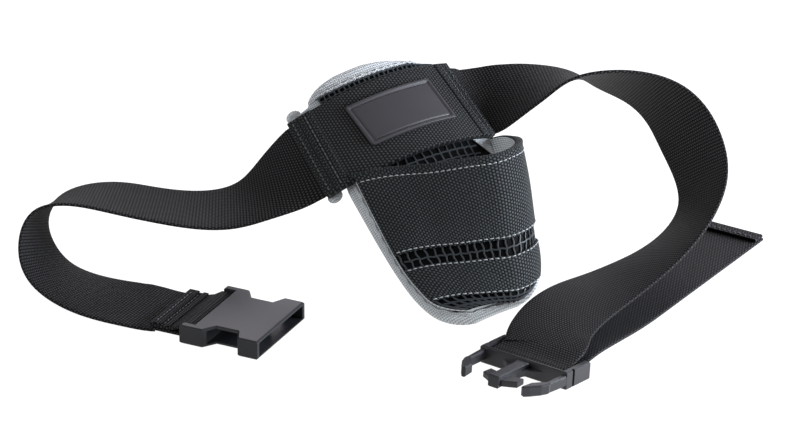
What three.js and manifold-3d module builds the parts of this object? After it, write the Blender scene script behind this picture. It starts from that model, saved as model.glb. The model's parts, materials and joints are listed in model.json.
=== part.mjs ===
// Fighting belt for rod fishing: a belly pad with a sewn pouch for the rod butt, a webbing sleeve
// across the pad, a 50 mm belt that runs through the sleeve, and a side-release buckle.
// It lies on a table: the pad leans back, both belt runs bend round in front of it.
// Millimetres, +Z up, X to the viewer's right, Y away from the viewer.
import * as THREE from 'three';
import { mergeVertices } from 'three/addons/utils/BufferGeometryUtils.js';
import Module from 'manifold-3d';

const wasm = await Module();
wasm.setup();

// Driving sizes
const gap = 0.3;                 // between touching pieces
const webbingWidth = 50;
const webbingThick = 2;
const padThick = 6;              // spacer mesh of the belly pad
const padHeight = 178;
const padHalfWidth = 53;         // along the curve of the pad, from its middle line
const padBend = 92;              // belly radius of the pad
const padTop = 39.5;             // rise of the pad's top above the label's middle
const edgingWidth = 9;           // light rim of the pad that the dark layers leave bare
const netThick = 1.4;
const netPitch = 10;            // one cell of the coarse net
const netStrand = 2.6;
const sleeveLength = 116;        // along the curve
const sleeveShift = -4.5;        // its middle lies left of the pad's middle line
const sleeveMiddle = -2.8;       // rise of the sleeve's middle line
const sleeveWall = 1.6;
const hemLength = 15;
const hemThick = 1;
const labelLength = 53;
const labelHeight = 29.5;
const labelRise = 2;             // its middle lies above the sleeve's
const labelThick = 1.4;
const labelBorder = 2.2;
const borderRaise = 0.6;
const pouchBulge = 28;           // how far the mouth of the pouch stands off the pad
const pouchDrop = 29;            // how far the front of the mouth sags below its seams
const pouchHeight = 107;         // from the mouth's seam to the foot of the pouch
const pouchHalfWidth = 50;
const pouchTop = -31;            // rise of the mouth's seam
const liningThick = 1.5;
const bandThick = 1.5;
const buckleWidth = 60;
const buckleHeight = 12;
const socketLength = 51.5;       // female half, strap end to mouth
const plugReach = 34;            // male half, bar to arm tips
const plugWidth = 61;
const plugTail = 20.5;           // male half, bar to strap end
const shellWall = 1.8;
const barRadius = 2;
const foldLength = 26;           // webbing folded back over itself at the female half
const tailLength = 236;          // free end, from the bar of the male half
const tailHem = 9;
const leftReach = 164;           // sleeve mouth to the far left bend
const rightReach = 141;          // sleeve mouth to the far right bend
const padPlace = { x: 3, y: -53, z: 89.1 };
const padAngles = { turn: 22, lean: 37, roll: 10 };

const rad = THREE.MathUtils.degToRad;
const lerp = THREE.MathUtils.lerp;

// Colours and finishes
const finish = {
  webbing: { color: 0x1c1c1e, roughness: 0.85 },
  band: { color: 0x1d2023, roughness: 0.85 },
  net: { color: 0x2b3036, roughness: 0.7 },
  mesh: { color: 0xc3c8cb, roughness: 0.95 },
  rubber: { color: 0x4c4852, roughness: 0.6 },
  moulded: { color: 0x3b3c42, roughness: 0.45 },
};

function named(name, geometry, look) {
  const mesh = new THREE.Mesh(geometry, new THREE.MeshStandardMaterial({ metalness: 0, ...look }));
  mesh.name = name;
  return mesh;
}

// Closed sheet with two faces and a rim. front and back are grids of points [row][column];
// keep says which cells are cloth, so that a net is pierced right through.
function shell(front, back, keep = () => true) {
  const rows = front.length - 1;
  const cols = front[0].length - 1;
  const positions = [];
  const quad = (a, b, c, d) => {
    for (const p of [a, b, c, a, c, d]) positions.push(p.x, p.y, p.z);
  };
  const solid = (i, j) => i >= 0 && j >= 0 && i < rows && j < cols && keep(i, j);
  for (let i = 0; i < rows; i++) {
    for (let j = 0; j < cols; j++) {
      if (!solid(i, j)) continue;
      quad(front[i][j], front[i][j + 1], front[i + 1][j + 1], front[i + 1][j]);
      quad(back[i][j], back[i + 1][j], back[i + 1][j + 1], back[i][j + 1]);
      if (!solid(i - 1, j)) quad(back[i][j], back[i][j + 1], front[i][j + 1], front[i][j]);
      if (!solid(i + 1, j)) quad(front[i + 1][j], front[i + 1][j + 1], back[i + 1][j + 1], back[i + 1][j]);
      if (!solid(i, j - 1)) quad(back[i + 1][j], back[i][j], front[i][j], front[i + 1][j]);
      if (!solid(i, j + 1)) quad(back[i][j + 1], back[i + 1][j + 1], front[i + 1][j + 1], front[i][j + 1]);
    }
  }
  const geometry = new THREE.BufferGeometry();
  geometry.setAttribute('position', new THREE.Float32BufferAttribute(positions, 3));
  const merged = mergeVertices(geometry, 1e-4);
  merged.computeVertexNormals();
  return merged;
}

function gridOf(rows, cols, place) {
  return Array.from({ length: rows + 1 }, (_, i) =>
    Array.from({ length: cols + 1 }, (_, j) => place(i / rows, j / cols)));
}

// Smooth value of a table column between its rows, by the column's share
function tableCurve(rows, key, at) {
  let k = 0;
  while (k < rows.length - 2 && rows[k + 1].at < at) k++;
  const a = rows[k];
  const b = rows[k + 1];
  const before = rows[Math.max(k - 1, 0)];
  const after = rows[Math.min(k + 2, rows.length - 1)];
  const t = THREE.MathUtils.clamp((at - a.at) / (b.at - a.at), 0, 1);
  const span = b.at - a.at;
  const slopeA = k === 0 ? (b[key] - a[key]) / span : (b[key] - before[key]) / (b.at - before.at);
  const slopeB = k + 2 >= rows.length ? (b[key] - a[key]) / span : (after[key] - a[key]) / (after.at - a.at);
  const t2 = t * t;
  const t3 = t2 * t;
  return (2 * t3 - 3 * t2 + 1) * a[key] + (t3 - 2 * t2 + t) * span * slopeA
    + (3 * t2 - 2 * t3) * b[key] + (t3 - t2) * span * slopeB;
}

// The pad's own curved space: along the belly curve, rise up the pad, depth out from its middle
function onPad(along, rise, depth) {
  const angle = along / padBend;
  const radius = padBend + depth;
  return new THREE.Vector3(radius * Math.sin(angle), rise, radius * Math.cos(angle) - padBend);
}

const padFace = padThick / 2;
const netBack = padFace + gap;
const netFace = netBack + netThick;

// Outline of the pad from its foot to its top: half widths as shares of padHalfWidth,
// at shares of padHeight. The ears under the sleeve are its widest part.
const padOutline = [
  { at: 0.0, left: 0.4, right: 0.15 },
  { at: 0.012, left: 0.52, right: 0.3 },
  { at: 0.04, left: 0.66, right: 0.47 },
  { at: 0.08, left: 0.77, right: 0.62 },
  { at: 0.14, left: 0.85, right: 0.74 },
  { at: 0.22, left: 0.89, right: 0.84 },
  { at: 0.35, left: 0.91, right: 0.93 },
  { at: 0.55, left: 0.91, right: 1.0 },
  { at: 0.585, left: 0.93, right: 1.0 },
  { at: 0.595, left: 1.08, right: 1.02 },
  { at: 0.61, left: 1.19, right: 1.04 },
  { at: 0.76, left: 1.2, right: 1.05 },
  { at: 0.925, left: 1.2, right: 1.03 },
  { at: 0.933, left: 1.12, right: 0.85 },
  { at: 0.94, left: 0.9, right: 0.7 },
  { at: 0.96, left: 0.84, right: 0.55 },
  { at: 0.98, left: 0.74, right: 0.3 },
  { at: 0.992, left: 0.62, right: 0.1 },
  { at: 1.0, left: 0.46, right: -0.1 },
];
const padFoot = padTop - padHeight;

function padGrid(depth, inset, rows, cols, from = 0, to = 1) {
  return gridOf(rows, cols, (v, u) => {
    const share = lerp(from, to, v);
    const rise = lerp(padFoot, padTop, share);
    const left = -tableCurve(padOutline, 'left', share) * padHalfWidth + inset;
    const right = tableCurve(padOutline, 'right', share) * padHalfWidth - inset;
    return onPad(lerp(left, right, u), rise, depth);
  });
}

function backPad() {
  const rows = 44;
  const cols = 10;
  return named('back_pad', shell(padGrid(padFace, 0, rows, cols), padGrid(-padFace, 0, rows, cols)), finish.mesh);
}

// A net is a sheet whose cells are cut through. Lines of the grid alternate between strand and hole.
function netLines(length, pitch = netPitch, strand = netStrand) {
  const cells = Math.max(1, Math.round((length - strand) / pitch));
  const hole = (length - strand) / cells - strand;
  const lines = [0];
  for (let k = 0; k < cells; k++) {
    const start = k * (strand + hole);
    lines.push((start + strand) / length, (start + strand + hole) / length);
  }
  lines.push(1);
  return lines;
}

const isStrand = (k) => k % 2 === 0;

// Dark coarse net on the front of the pad. Its window lies between the sleeve and the pouch's mouth.
const frontNet = { foot: 0.055, top: 0.949, windowHeight: 38 };

function frontNetPiece() {
  const inset = edgingWidth;
  const windowTop = (sleeveMiddle - sleeveHeight / 2 - padFoot + 3) / padHeight;
  const windowFoot = windowTop - frontNet.windowHeight / padHeight;
  const windowRows = netLines(frontNet.windowHeight);
  const below = [0, 0.03, 0.08, 0.15, 0.25, 0.4, 0.65];
  const above = [0.35, 0.7, 0.8, 0.87, 0.93, 0.97, 1];
  const lineShares = [
    ...below.map((s) => lerp(frontNet.foot, windowFoot, s)),
    ...windowRows.map((s) => lerp(windowFoot, windowTop, s)),
    ...above.map((s) => lerp(windowTop, frontNet.top, s)),
  ];
  const firstWindow = below.length;
  const cols = netLines(2 * (padHalfWidth - inset));
  const place = (depth) => lineShares.map((share) => cols.map((u) => {
    const rise = lerp(padFoot, padTop, share);
    const left = -Math.min(tableCurve(padOutline, 'left', share), 0.9) * padHalfWidth + inset;
    const right = Math.min(tableCurve(padOutline, 'right', share), 1) * padHalfWidth - inset;
    return onPad(lerp(left, right, u), rise, depth);
  }));
  const keep = (i, j) => {
    const row = i - firstWindow;
    const inWindow = row >= 0 && row < windowRows.length - 1;
    return !inWindow || isStrand(row) || isStrand(j);
  };
  return named('front_net', shell(place(netFace), place(netBack), keep), finish.net);
}

// Sleeve: a channel of webbing over the pad that the belt runs through, hemmed at both ends
const sleeveHeight = webbingWidth + 2 * (sleeveWall + gap);
const strapDepth = netFace + gap + webbingThick / 2;
const sleeveInner = strapDepth + webbingThick / 2 + gap;
const sleeveOuter = sleeveInner + sleeveWall;
const sleeveLeft = sleeveShift - sleeveLength / 2;
const sleeveRight = sleeveShift + sleeveLength / 2;

function sleevePiece() {
  const half = sleeveHeight / 2;
  const foot = netFace + gap;
  const round = 1.2;
  const outline = (outer) => [
    [-half, foot], [-half, outer - round], [-half + round, outer],
    [half - round, outer], [half, outer - round], [half, foot],
    [half - sleeveWall, foot], [half - sleeveWall, sleeveInner],
    [-half + sleeveWall, sleeveInner], [-half + sleeveWall, foot],
  ];
  const plain = outline(sleeveOuter);
  const hem = outline(sleeveOuter + hemThick);
  const blend = 1;
  const stations = [
    { along: sleeveLeft, shape: hem }, { along: sleeveLeft + hemLength, shape: hem },
    { along: sleeveLeft + hemLength + blend, shape: plain },
  ];
  const middle = 10;
  for (let k = 1; k < middle; k++) {
    stations.push({
      along: lerp(sleeveLeft + hemLength + blend, sleeveRight - hemLength - blend, k / middle), shape: plain,
    });
  }
  stations.push(
    { along: sleeveRight - hemLength - blend, shape: plain },
    { along: sleeveRight - hemLength, shape: hem }, { along: sleeveRight, shape: hem },
  );
  stations.splice(1, 0, { along: sleeveLeft + hemLength / 2, shape: hem });
  stations.splice(stations.length - 1, 0, { along: sleeveRight - hemLength / 2, shape: hem });
  const rings = stations.map(({ along, shape }) =>
    shape.map(([rise, depth]) => onPad(along, sleeveMiddle + rise, depth)));
  return named('belt_sleeve', loftRings(rings), finish.webbing);
}

// Closed loft through rings of points; the two ends are capped
function loftRings(rings) {
  const n = rings[0].length;
  const positions = [];
  const tri = (a, b, c) => {
    for (const p of [a, b, c]) positions.push(p.x, p.y, p.z);
  };
  for (let i = 0; i < rings.length - 1; i++) {
    for (let j = 0; j < n; j++) {
      const k = (j + 1) % n;
      tri(rings[i][j], rings[i + 1][j], rings[i + 1][k]);
      tri(rings[i][j], rings[i + 1][k], rings[i][k]);
    }
  }
  capRing(rings[0], true, tri);
  capRing(rings[rings.length - 1], false, tri);
  const geometry = new THREE.BufferGeometry();
  geometry.setAttribute('position', new THREE.Float32BufferAttribute(positions, 3));
  const merged = mergeVertices(geometry, 1e-4);
  merged.computeVertexNormals();
  return merged;
}

function capRing(ring, first, tri) {
  const origin = ring[0];
  const normal = new THREE.Vector3();
  for (let k = 1; k < ring.length - 1; k++) {
    const a = ring[k].clone().sub(origin);
    const b = ring[k + 1].clone().sub(origin);
    normal.add(a.cross(b));
  }
  normal.normalize();
  const xAxis = ring[1].clone().sub(origin).projectOnPlane(normal).normalize();
  const yAxis = normal.clone().cross(xAxis);
  const flat = ring.map((p) => {
    const d = p.clone().sub(origin);
    return new THREE.Vector2(d.dot(xAxis), d.dot(yAxis));
  });
  for (const [a, b, c] of THREE.ShapeUtils.triangulateShape(flat, [])) {
    if (first) tri(ring[a], ring[b], ring[c]);
    else tri(ring[a], ring[c], ring[b]);
  }
}

// Blank rubber label with a raised border
function labelPiece() {
  const back = sleeveOuter + gap;
  const line = 0.5;
  const linesAcross = (length) => {
    const b = labelBorder / length;
    const e = line / length;
    return [0, b, b + e, 0.25, 0.5, 0.75, 1 - b - e, 1 - b, 1];
  };
  const us = linesAcross(labelLength);
  const vs = linesAcross(labelHeight);
  const raised = (k) => (k <= 1 || k >= us.length - 2 ? borderRaise : 0);
  const place = (depthAt) => vs.map((v, i) => us.map((u, j) =>
    onPad((u - 0.5) * labelLength, sleeveMiddle + labelRise + (v - 0.5) * labelHeight, depthAt(i, j))));
  const front = place((i, j) => back + labelThick + Math.max(raised(i), raised(j)));
  return named('label_patch', shell(front, place(() => back)), finish.rubber);
}

// Pouch wall. Rows run from the mouth to the foot: its side seams on the pad, as shares of
// pouchHalfWidth and pouchHeight, and how much of the mouth's bulge and drop is left.
const pouchRows = [
  { at: 0.0, left: -0.77, right: 0.98, leftFall: 0.0, rightFall: 0.0, bulge: 1.0, drop: 1.0 },
  { at: 0.25, left: -0.8, right: 0.87, leftFall: 0.22, rightFall: 0.27, bulge: 0.76, drop: 0.92 },
  { at: 0.475, left: -0.82, right: 0.74, leftFall: 0.445, rightFall: 0.54, bulge: 0.48, drop: 0.75 },
  { at: 0.585, left: -0.8, right: 0.69, leftFall: 0.545, rightFall: 0.66, bulge: 0.38, drop: 0.62 },
  { at: 0.7, left: -0.78, right: 0.64, leftFall: 0.67, rightFall: 0.77, bulge: 0.29, drop: 0.47 },
  { at: 0.83, left: -0.72, right: 0.55, leftFall: 0.81, rightFall: 0.89, bulge: 0.17, drop: 0.27 },
  { at: 0.93, left: -0.58, right: 0.42, leftFall: 0.91, rightFall: 0.95, bulge: 0.08, drop: 0.1 },
  { at: 1.0, left: -0.42, right: 0.25, leftFall: 0.97, rightFall: 0.985, bulge: 0.02, drop: 0.02 },
];
// Course of the mouth from its left seam to its right one: share of the way along the pad,
// how far out, and how far down. It hugs the pad at the left and stands out at the right.
const mouthCourse = [
  { at: 0.0, along: 0.0, out: 0.0, down: 0.0 },
  { at: 0.1, along: 0.13, out: 0.04, down: 0.07 },
  { at: 0.22, along: 0.29, out: 0.15, down: 0.33 },
  { at: 0.34, along: 0.425, out: 0.4, down: 0.6 },
  { at: 0.5, along: 0.59, out: 0.76, down: 0.87 },
  { at: 0.6, along: 0.69, out: 0.96, down: 1.0 },
  { at: 0.7, along: 0.8, out: 1.0, down: 0.9 },
  { at: 0.79, along: 0.885, out: 0.87, down: 0.68 },
  { at: 0.88, along: 0.955, out: 0.62, down: 0.4 },
  { at: 0.95, along: 0.985, out: 0.34, down: 0.17 },
  { at: 1.0, along: 1.0, out: 0.0, down: 0.0 },
];
const pouchBase = netFace + gap + liningThick / 2 + 0.2;

function pouchPoint(level, across) {
  const share = tableCurve(mouthCourse, 'along', across);
  const row = (key) => tableCurve(pouchRows, key, level);
  const along = lerp(row('left'), row('right'), share) * pouchHalfWidth;
  const fall = lerp(row('leftFall'), row('rightFall'), share) * pouchHeight;
  const out = Math.max(tableCurve(mouthCourse, 'out', across), 0) * row('bulge') * pouchBulge;
  const down = tableCurve(mouthCourse, 'down', across) * row('drop') * pouchDrop;
  return onPad(along, pouchTop - fall - down, pouchBase + out);
}

// The same wall moved out along its own normal
function pouchOffset(level, across, offset) {
  const step = 0.01;
  const l0 = Math.max(level - step, 0);
  const l1 = Math.min(level + step, 1);
  const a0 = Math.max(across - step, 0.001);
  const a1 = Math.min(across + step, 0.999);
  const down = pouchPoint(l1, across).sub(pouchPoint(l0, across));
  const over = pouchPoint(level, a1).sub(pouchPoint(level, a0));
  const normal = down.cross(over).normalize();
  return pouchPoint(level, across).addScaledVector(normal, offset);
}

function pouchSheet(levels, acrosses, inner, thick, keep = () => true) {
  const upward = [...levels].reverse();
  const place = (offset) => upward.map((level) => acrosses.map((across) => pouchOffset(level, across, offset)));
  return shell(place(inner + thick), place(inner), (i, j) => keep(levels.length - 2 - i, j));
}

const evenly = (from, to, count) => Array.from({ length: count + 1 }, (_, k) => lerp(from, to, k / count));
const liningFace = liningThick / 2;
const pouchNetBack = liningFace + gap;
const pouchNetFace = pouchNetBack + netThick;
const bandBack = pouchNetFace + gap;
// Levels of the pouch where its bands begin and end, and where the net shows its open cells
const bands = { upperTop: 0, upperFoot: 0.475, lowerTop: 0.585, lowerFoot: 0.83 };
const netRows = [{ from: 0.49, to: 0.57 }, { from: 0.845, to: 0.94 }];
const pouchLevels = [
  0, 0.12, 0.24, 0.36, bands.upperFoot, netRows[0].from, netRows[0].to, bands.lowerTop, 0.66, 0.74,
  bands.lowerFoot, netRows[1].from, netRows[1].to, 0.97, 1,
];
const netSpan = { from: 0.03, to: 0.97 };
const netAcross = netLines(16 * netPitch).map((s) => lerp(netSpan.from, netSpan.to, s));

// All layers of the pouch share one grid, so that their flat cells never touch
const liningPiece = () => named('pouch_lining',
  pouchSheet(pouchLevels, [0.004, ...netAcross, 0.996], -liningFace, liningThick), finish.mesh);

function pouchNetPiece() {
  const levels = pouchLevels.slice(1, -1);
  const holes = new Set(netRows.map(({ from }) => levels.indexOf(from)));
  const keep = (i, j) => !holes.has(i) || isStrand(j);
  return named('pouch_net', pouchSheet(levels, netAcross, pouchNetBack, netThick, keep), finish.net);
}

function bandPiece(name, from, to) {
  const levels = pouchLevels.slice(pouchLevels.indexOf(from), pouchLevels.indexOf(to) + 1);
  return named(name, pouchSheet(levels, netAcross, bandBack, bandThick), finish.band);
}

// Pad sub-assembly, turned about Z, leaned back about X and rolled in its own plane
const padRoll = new THREE.Group();
padRoll.rotation.z = rad(padAngles.roll);
padRoll.add(
  backPad(), frontNetPiece(), sleevePiece(), labelPiece(), liningPiece(), pouchNetPiece(),
  bandPiece('pouch_band_upper', bands.upperTop, bands.upperFoot),
  bandPiece('pouch_band_lower', bands.lowerTop, bands.lowerFoot),
);
const padLean = new THREE.Group();
padLean.rotation.x = rad(padAngles.lean);
padLean.add(padRoll);
const padGroup = new THREE.Group();
padGroup.rotation.z = rad(padAngles.turn);
padGroup.position.set(padPlace.x, padPlace.y, padPlace.z);
padGroup.add(padLean);
padGroup.updateMatrixWorld(true);

const padWorld = (along, rise, depth) => onPad(along, rise, depth).applyMatrix4(padRoll.matrixWorld);
const riseDirection = new THREE.Vector3(0, 1, 0).transformDirection(padRoll.matrixWorld);

// A rib is the cross line of the webbing: its middle point and its direction
const ribDirection = (azimuth, elevation) => new THREE.Vector3(
  Math.cos(rad(elevation)) * Math.cos(rad(azimuth)),
  Math.cos(rad(elevation)) * Math.sin(rad(azimuth)),
  Math.sin(rad(elevation)),
);

function smoothRibs(ribs, step) {
  const middle = new THREE.CatmullRomCurve3(ribs.map((r) => r.middle), false, 'centripetal');
  const across = new THREE.CatmullRomCurve3(ribs.map((r) => r.across), false, 'catmullrom', 0.5);
  const last = ribs.length - 1;
  const out = [];
  for (let k = 0; k < last; k++) {
    const length = ribs[k].middle.distanceTo(ribs[k + 1].middle);
    const parts = Math.max(1, Math.round(length / step));
    for (let i = 0; i < parts; i++) {
      const t = (k + i / parts) / last;
      out.push({ middle: middle.getPoint(t), across: across.getPoint(t).normalize() });
    }
  }
  out.push(ribs[last]);
  return out;
}

// Flat webbing through a list of ribs, as thick as the cloth
function webbing(name, ribs, width = webbingWidth) {
  const rings = ribs.map((rib, k) => {
    const before = ribs[Math.max(k - 1, 0)].middle;
    const after = ribs[Math.min(k + 1, ribs.length - 1)].middle;
    const along = after.clone().sub(before).normalize();
    const across = rib.across.clone().addScaledVector(along, -along.dot(rib.across)).normalize();
    const normal = along.clone().cross(across).normalize();
    const corner = (side, face) => rib.middle.clone()
      .addScaledVector(across, (side * width) / 2)
      .addScaledVector(normal, (face * webbingThick) / 2);
    return [corner(-1, -1), corner(-1, 1), corner(1, 1), corner(1, -1)];
  });
  return named(name, loftRings(rings), finish.webbing);
}

function sleeveRibs(from, to, count) {
  return evenly(from, to, count).map((along) => ({
    middle: padWorld(along, sleeveMiddle, strapDepth), across: riseDirection.clone(),
  }));
}

// Left run, from the sleeve's mouth to the female half. out, back and up are shares of leftReach
// from the mouth; azimuth and elevation give the rib, in degrees.
const leftRoute = [
  { out: -0.067, back: -0.005, up: -0.05, azimuth: 110, elevation: 32 },
  { out: -0.14, back: -0.01, up: -0.1, azimuth: 99, elevation: 20 },
  { out: -0.215, back: -0.02, up: -0.15, azimuth: 93, elevation: 8 },
  { out: -0.3, back: -0.02, up: -0.175, azimuth: 92, elevation: 4 },
  { out: -0.4, back: -0.025, up: -0.175, azimuth: 89, elevation: 1 },
  { out: -0.54, back: -0.025, up: -0.155, azimuth: 86, elevation: -2 },
  { out: -0.68, back: -0.025, up: -0.125, azimuth: 85, elevation: -3 },
  { out: -0.81, back: -0.02, up: -0.115, azimuth: 85, elevation: -10 },
  { out: -0.91, back: -0.025, up: -0.13, azimuth: 87, elevation: -17 },
  { out: -0.97, back: -0.04, up: -0.17, azimuth: 82, elevation: -24 },
  { out: -0.987, back: -0.08, up: -0.235, azimuth: 73, elevation: -24 },
  { out: -0.97, back: -0.125, up: -0.305, azimuth: 64, elevation: -21 },
  { out: -0.92, back: -0.185, up: -0.355, azimuth: 56, elevation: -13 },
  { out: -0.83, back: -0.26, up: -0.378, azimuth: 53, elevation: -5 },
  { out: -0.735, back: -0.33, up: -0.381, azimuth: 54, elevation: 0 },
  { out: -0.635, back: -0.39, up: -0.38, azimuth: 58, elevation: 2 },
];
const socketHeading = -26.3;
const socketPlace = { x: -88.4, y: -163.8 };

// Right run, from the sleeve's mouth over its crest and round to the male half
const rightRoute = [
  { out: 0.017, back: 0.02, up: -0.01, azimuth: 120, elevation: 32 },
  { out: 0.06, back: 0.04, up: 0.0, azimuth: 115, elevation: 24 },
  { out: 0.11, back: 0.037, up: 0.02, azimuth: 108, elevation: 13 },
  { out: 0.175, back: 0.025, up: 0.06, azimuth: 102, elevation: 4 },
  { out: 0.26, back: 0.022, up: 0.088, azimuth: 98, elevation: -3 },
  { out: 0.35, back: 0.02, up: 0.105, azimuth: 93, elevation: -12 },
  { out: 0.43, back: 0.01, up: 0.115, azimuth: 91, elevation: -21 },
  { out: 0.5, back: -0.002, up: 0.112, azimuth: 97, elevation: -30 },
  { out: 0.6, back: -0.005, up: 0.1, azimuth: 106, elevation: -37 },
  { out: 0.72, back: -0.008, up: 0.068, azimuth: 115, elevation: -40 },
  { out: 0.82, back: -0.03, up: 0.01, azimuth: 127, elevation: -42 },
  { out: 0.91, back: -0.105, up: -0.087, azimuth: 141, elevation: -38 },
  { out: 0.98, back: -0.22, up: -0.22, azimuth: 134, elevation: -34 },
  { out: 0.985, back: -0.3, up: -0.29, azimuth: 127, elevation: -34 },
  { out: 0.925, back: -0.42, up: -0.37, azimuth: 125, elevation: -30 },
  { out: 0.82, back: -0.55, up: -0.43, azimuth: 127, elevation: -23 },
  { out: 0.69, back: -0.68, up: -0.47, azimuth: 129, elevation: -14 },
  { out: 0.59, back: -0.77, up: -0.49, azimuth: 131, elevation: -8 },
  { out: 0.48, back: -0.905, up: -0.49, azimuth: 135, elevation: 0 },
  { out: 0.39, back: -1.045, up: -0.49, azimuth: 140, elevation: 3 },
  { out: 0.326, back: -1.187, up: -0.497, azimuth: 143, elevation: 2 },
];
const plugHeading = -126.5;
const plugPlace = { x: 76.3, y: -224 };
const plugTilt = 5.5;             // its nose is held up by the webbing
const tailHeading = -123;
const routeStep = 9;

// Frame of a buckle half on the table: ahead points out of its open end, and tilt lifts its nose
// while the foot of its rear edge stays down
function buckleFrame(place, heading, tilt = 0, rear = 0) {
  const matrix = new THREE.Matrix4().makeRotationFromEuler(new THREE.Euler(0, rad(-tilt), rad(heading), 'ZYX'));
  matrix.setPosition(place.x, place.y, rear * Math.sin(rad(tilt)));
  return {
    matrix,
    left: new THREE.Vector3(0, 1, 0).transformDirection(matrix),
    at: (forward, up) => new THREE.Vector3(forward, 0, up).applyMatrix4(matrix),
  };
}

function onFrame(mesh, frame) {
  mesh.applyMatrix4(frame.matrix);
  return mesh;
}

const socketFrame = buckleFrame(socketPlace, socketHeading);
const plugFrame = buckleFrame(plugPlace, plugHeading, plugTilt, plugTail);
const tailFrame = buckleFrame(plugPlace, tailHeading);
const barHeight = buckleHeight / 2;
const loopRadius = barRadius + gap + webbingThick / 2;
const socketBar = -socketLength / 2 + 3.8;
const plugBar = -3;

function routeRibs(start, rows, reach) {
  return rows.map((row) => ({
    middle: start.clone().add(new THREE.Vector3(row.out, row.back, row.up).multiplyScalar(reach)),
    across: ribDirection(row.azimuth, row.elevation),
  }));
}

// Half turn of webbing round a bar, seen along the bar
function barTurn(frame, forward, from, to, across, parts = 6) {
  return evenly(from, to, parts).map((degrees) => ({
    middle: frame.at(forward + loopRadius * Math.cos(rad(degrees)), barHeight + loopRadius * Math.sin(rad(degrees))),
    across: across.clone(),
  }));
}

function leftWebbing() {
  const inside = sleeveRibs(sleeveShift - gap, sleeveLeft, 7);
  const mouth = inside[inside.length - 1].middle;
  const across = socketFrame.left;
  const low = barHeight - loopRadius;
  const layer = webbingThick + gap;
  const entry = [-foldLength - 4, -foldLength, -16, -6].map((forward) => ({
    middle: socketFrame.at(socketBar + forward, low), across: across.clone(),
  }));
  const turn = barTurn(socketFrame, socketBar, -90, 90, across);
  const fold = [[-4, 2 * loopRadius], [-9, 1.25 * layer + 0.6], [-13, layer], [-foldLength, layer]]
    .map(([forward, up]) => ({ middle: socketFrame.at(socketBar + forward, low + up), across: across.clone() }));
  const run = smoothRibs([inside[inside.length - 1], ...routeRibs(mouth, leftRoute, leftReach), entry[0]], routeStep);
  return webbing('belt_left', [...inside.slice(0, -1), ...run, ...entry.slice(1), ...turn, ...fold]);
}

function rightWebbing() {
  const inside = sleeveRibs(sleeveShift + gap, sleeveRight, 6);
  const mouth = inside[inside.length - 1].middle;
  const across = plugFrame.left.clone().negate();
  const high = barHeight + loopRadius;
  const entry = [[-16, 3.4], [-10, 1.4], [-5, 0]].map(([forward, rise]) => ({
    middle: plugFrame.at(plugBar + forward, high + rise), across: across.clone(),
  }));
  const turn = barTurn(plugFrame, plugBar, 90, 2, across, 4);
  const run = smoothRibs([inside[inside.length - 1], ...routeRibs(mouth, rightRoute, rightReach), entry[0]], routeStep);
  return webbing('belt_right', [...inside.slice(0, -1), ...run, ...entry.slice(1), ...turn]);
}

// Free end: round the lower half of the bar, over the rear bar, then down on the table to its hem.
// Rows give its middle's height, as shares of buckleHeight, at shares of tailLength.
const tailRows = [
  { out: 0.105, up: 0.4 },
  { out: 0.14, up: 0.45 },
  { out: 0.185, up: 0.45 },
  { out: 0.235, up: 0.38 },
  { out: 0.29, up: 0.28 },
  { out: 0.36, up: 0.16 },
  { out: 0.43, up: 0.09 },
];

function tailWebbing() {
  const across = plugFrame.left.clone().negate();
  const lying = tailFrame.left.clone().negate();
  const turn = barTurn(plugFrame, plugBar, -8, -90, across, 4);
  const between = [[-12, 3.2], [-19, 4.4]].map(([forward, up]) => ({
    middle: plugFrame.at(forward, up), across: across.clone(),
  }));
  const near = tailRows.map(({ out, up }) => ({
    middle: tailFrame.at(-out * tailLength, up * buckleHeight), across: lying.clone(),
  }));
  const flat = evenly(0.5 * tailLength, tailLength, 5).map((forward) => ({
    middle: tailFrame.at(-forward, webbingThick / 2), across: lying.clone(),
  }));
  return webbing('belt_tail', [...turn, ...between, ...near, ...flat]);
}

// The tail's end is folded over and sewn: a second layer on top
function tailHemPiece() {
  const across = tailFrame.left.clone().negate();
  const up = 1.5 * webbingThick + gap;
  const ribs = evenly(tailLength - tailHem, tailLength, 1).map((forward) => ({
    middle: tailFrame.at(-forward, up), across: across.clone(),
  }));
  return webbing('tail_hem', ribs);
}

// Solids for cutting and joining
function toManifold(geometry) {
  const plain = geometry.clone();
  plain.deleteAttribute('normal');
  plain.deleteAttribute('uv');
  const merged = mergeVertices(plain, 1e-4);
  return new wasm.Manifold(new wasm.Mesh({
    numProp: 3,
    vertProperties: new Float32Array(merged.attributes.position.array),
    triVerts: new Uint32Array(merged.index.array),
  }));
}

function fromManifold(solid) {
  const { vertProperties, triVerts } = solid.getMesh();
  const geometry = new THREE.BufferGeometry();
  geometry.setAttribute('position', new THREE.BufferAttribute(new Float32Array(vertProperties), 3));
  geometry.setIndex(new THREE.BufferAttribute(new Uint32Array(triVerts), 1));
  geometry.computeVertexNormals();
  return geometry;
}

// Plan outline raised from one height to another, with an optional rounded edge
function slab(points, bottom, top, bevel = 0) {
  const outline = points.map(([x, y]) => new THREE.Vector2(x, y));
  if (THREE.ShapeUtils.isClockWise(outline)) outline.reverse();
  const shape = new THREE.Shape(outline);
  const geometry = new THREE.ExtrudeGeometry(shape, {
    depth: top - bottom - 2 * bevel, bevelEnabled: bevel > 0, bevelThickness: bevel, bevelSize: bevel,
    bevelOffset: -bevel, bevelSegments: 1, curveSegments: 8,
  });
  geometry.translate(0, 0, bottom + bevel);
  return toManifold(geometry);
}

function block(x0, x1, y0, y1, z0, z1) {
  const geometry = new THREE.BoxGeometry(x1 - x0, y1 - y0, z1 - z0);
  geometry.translate((x0 + x1) / 2, (y0 + y1) / 2, (z0 + z1) / 2);
  return toManifold(geometry);
}

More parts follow.
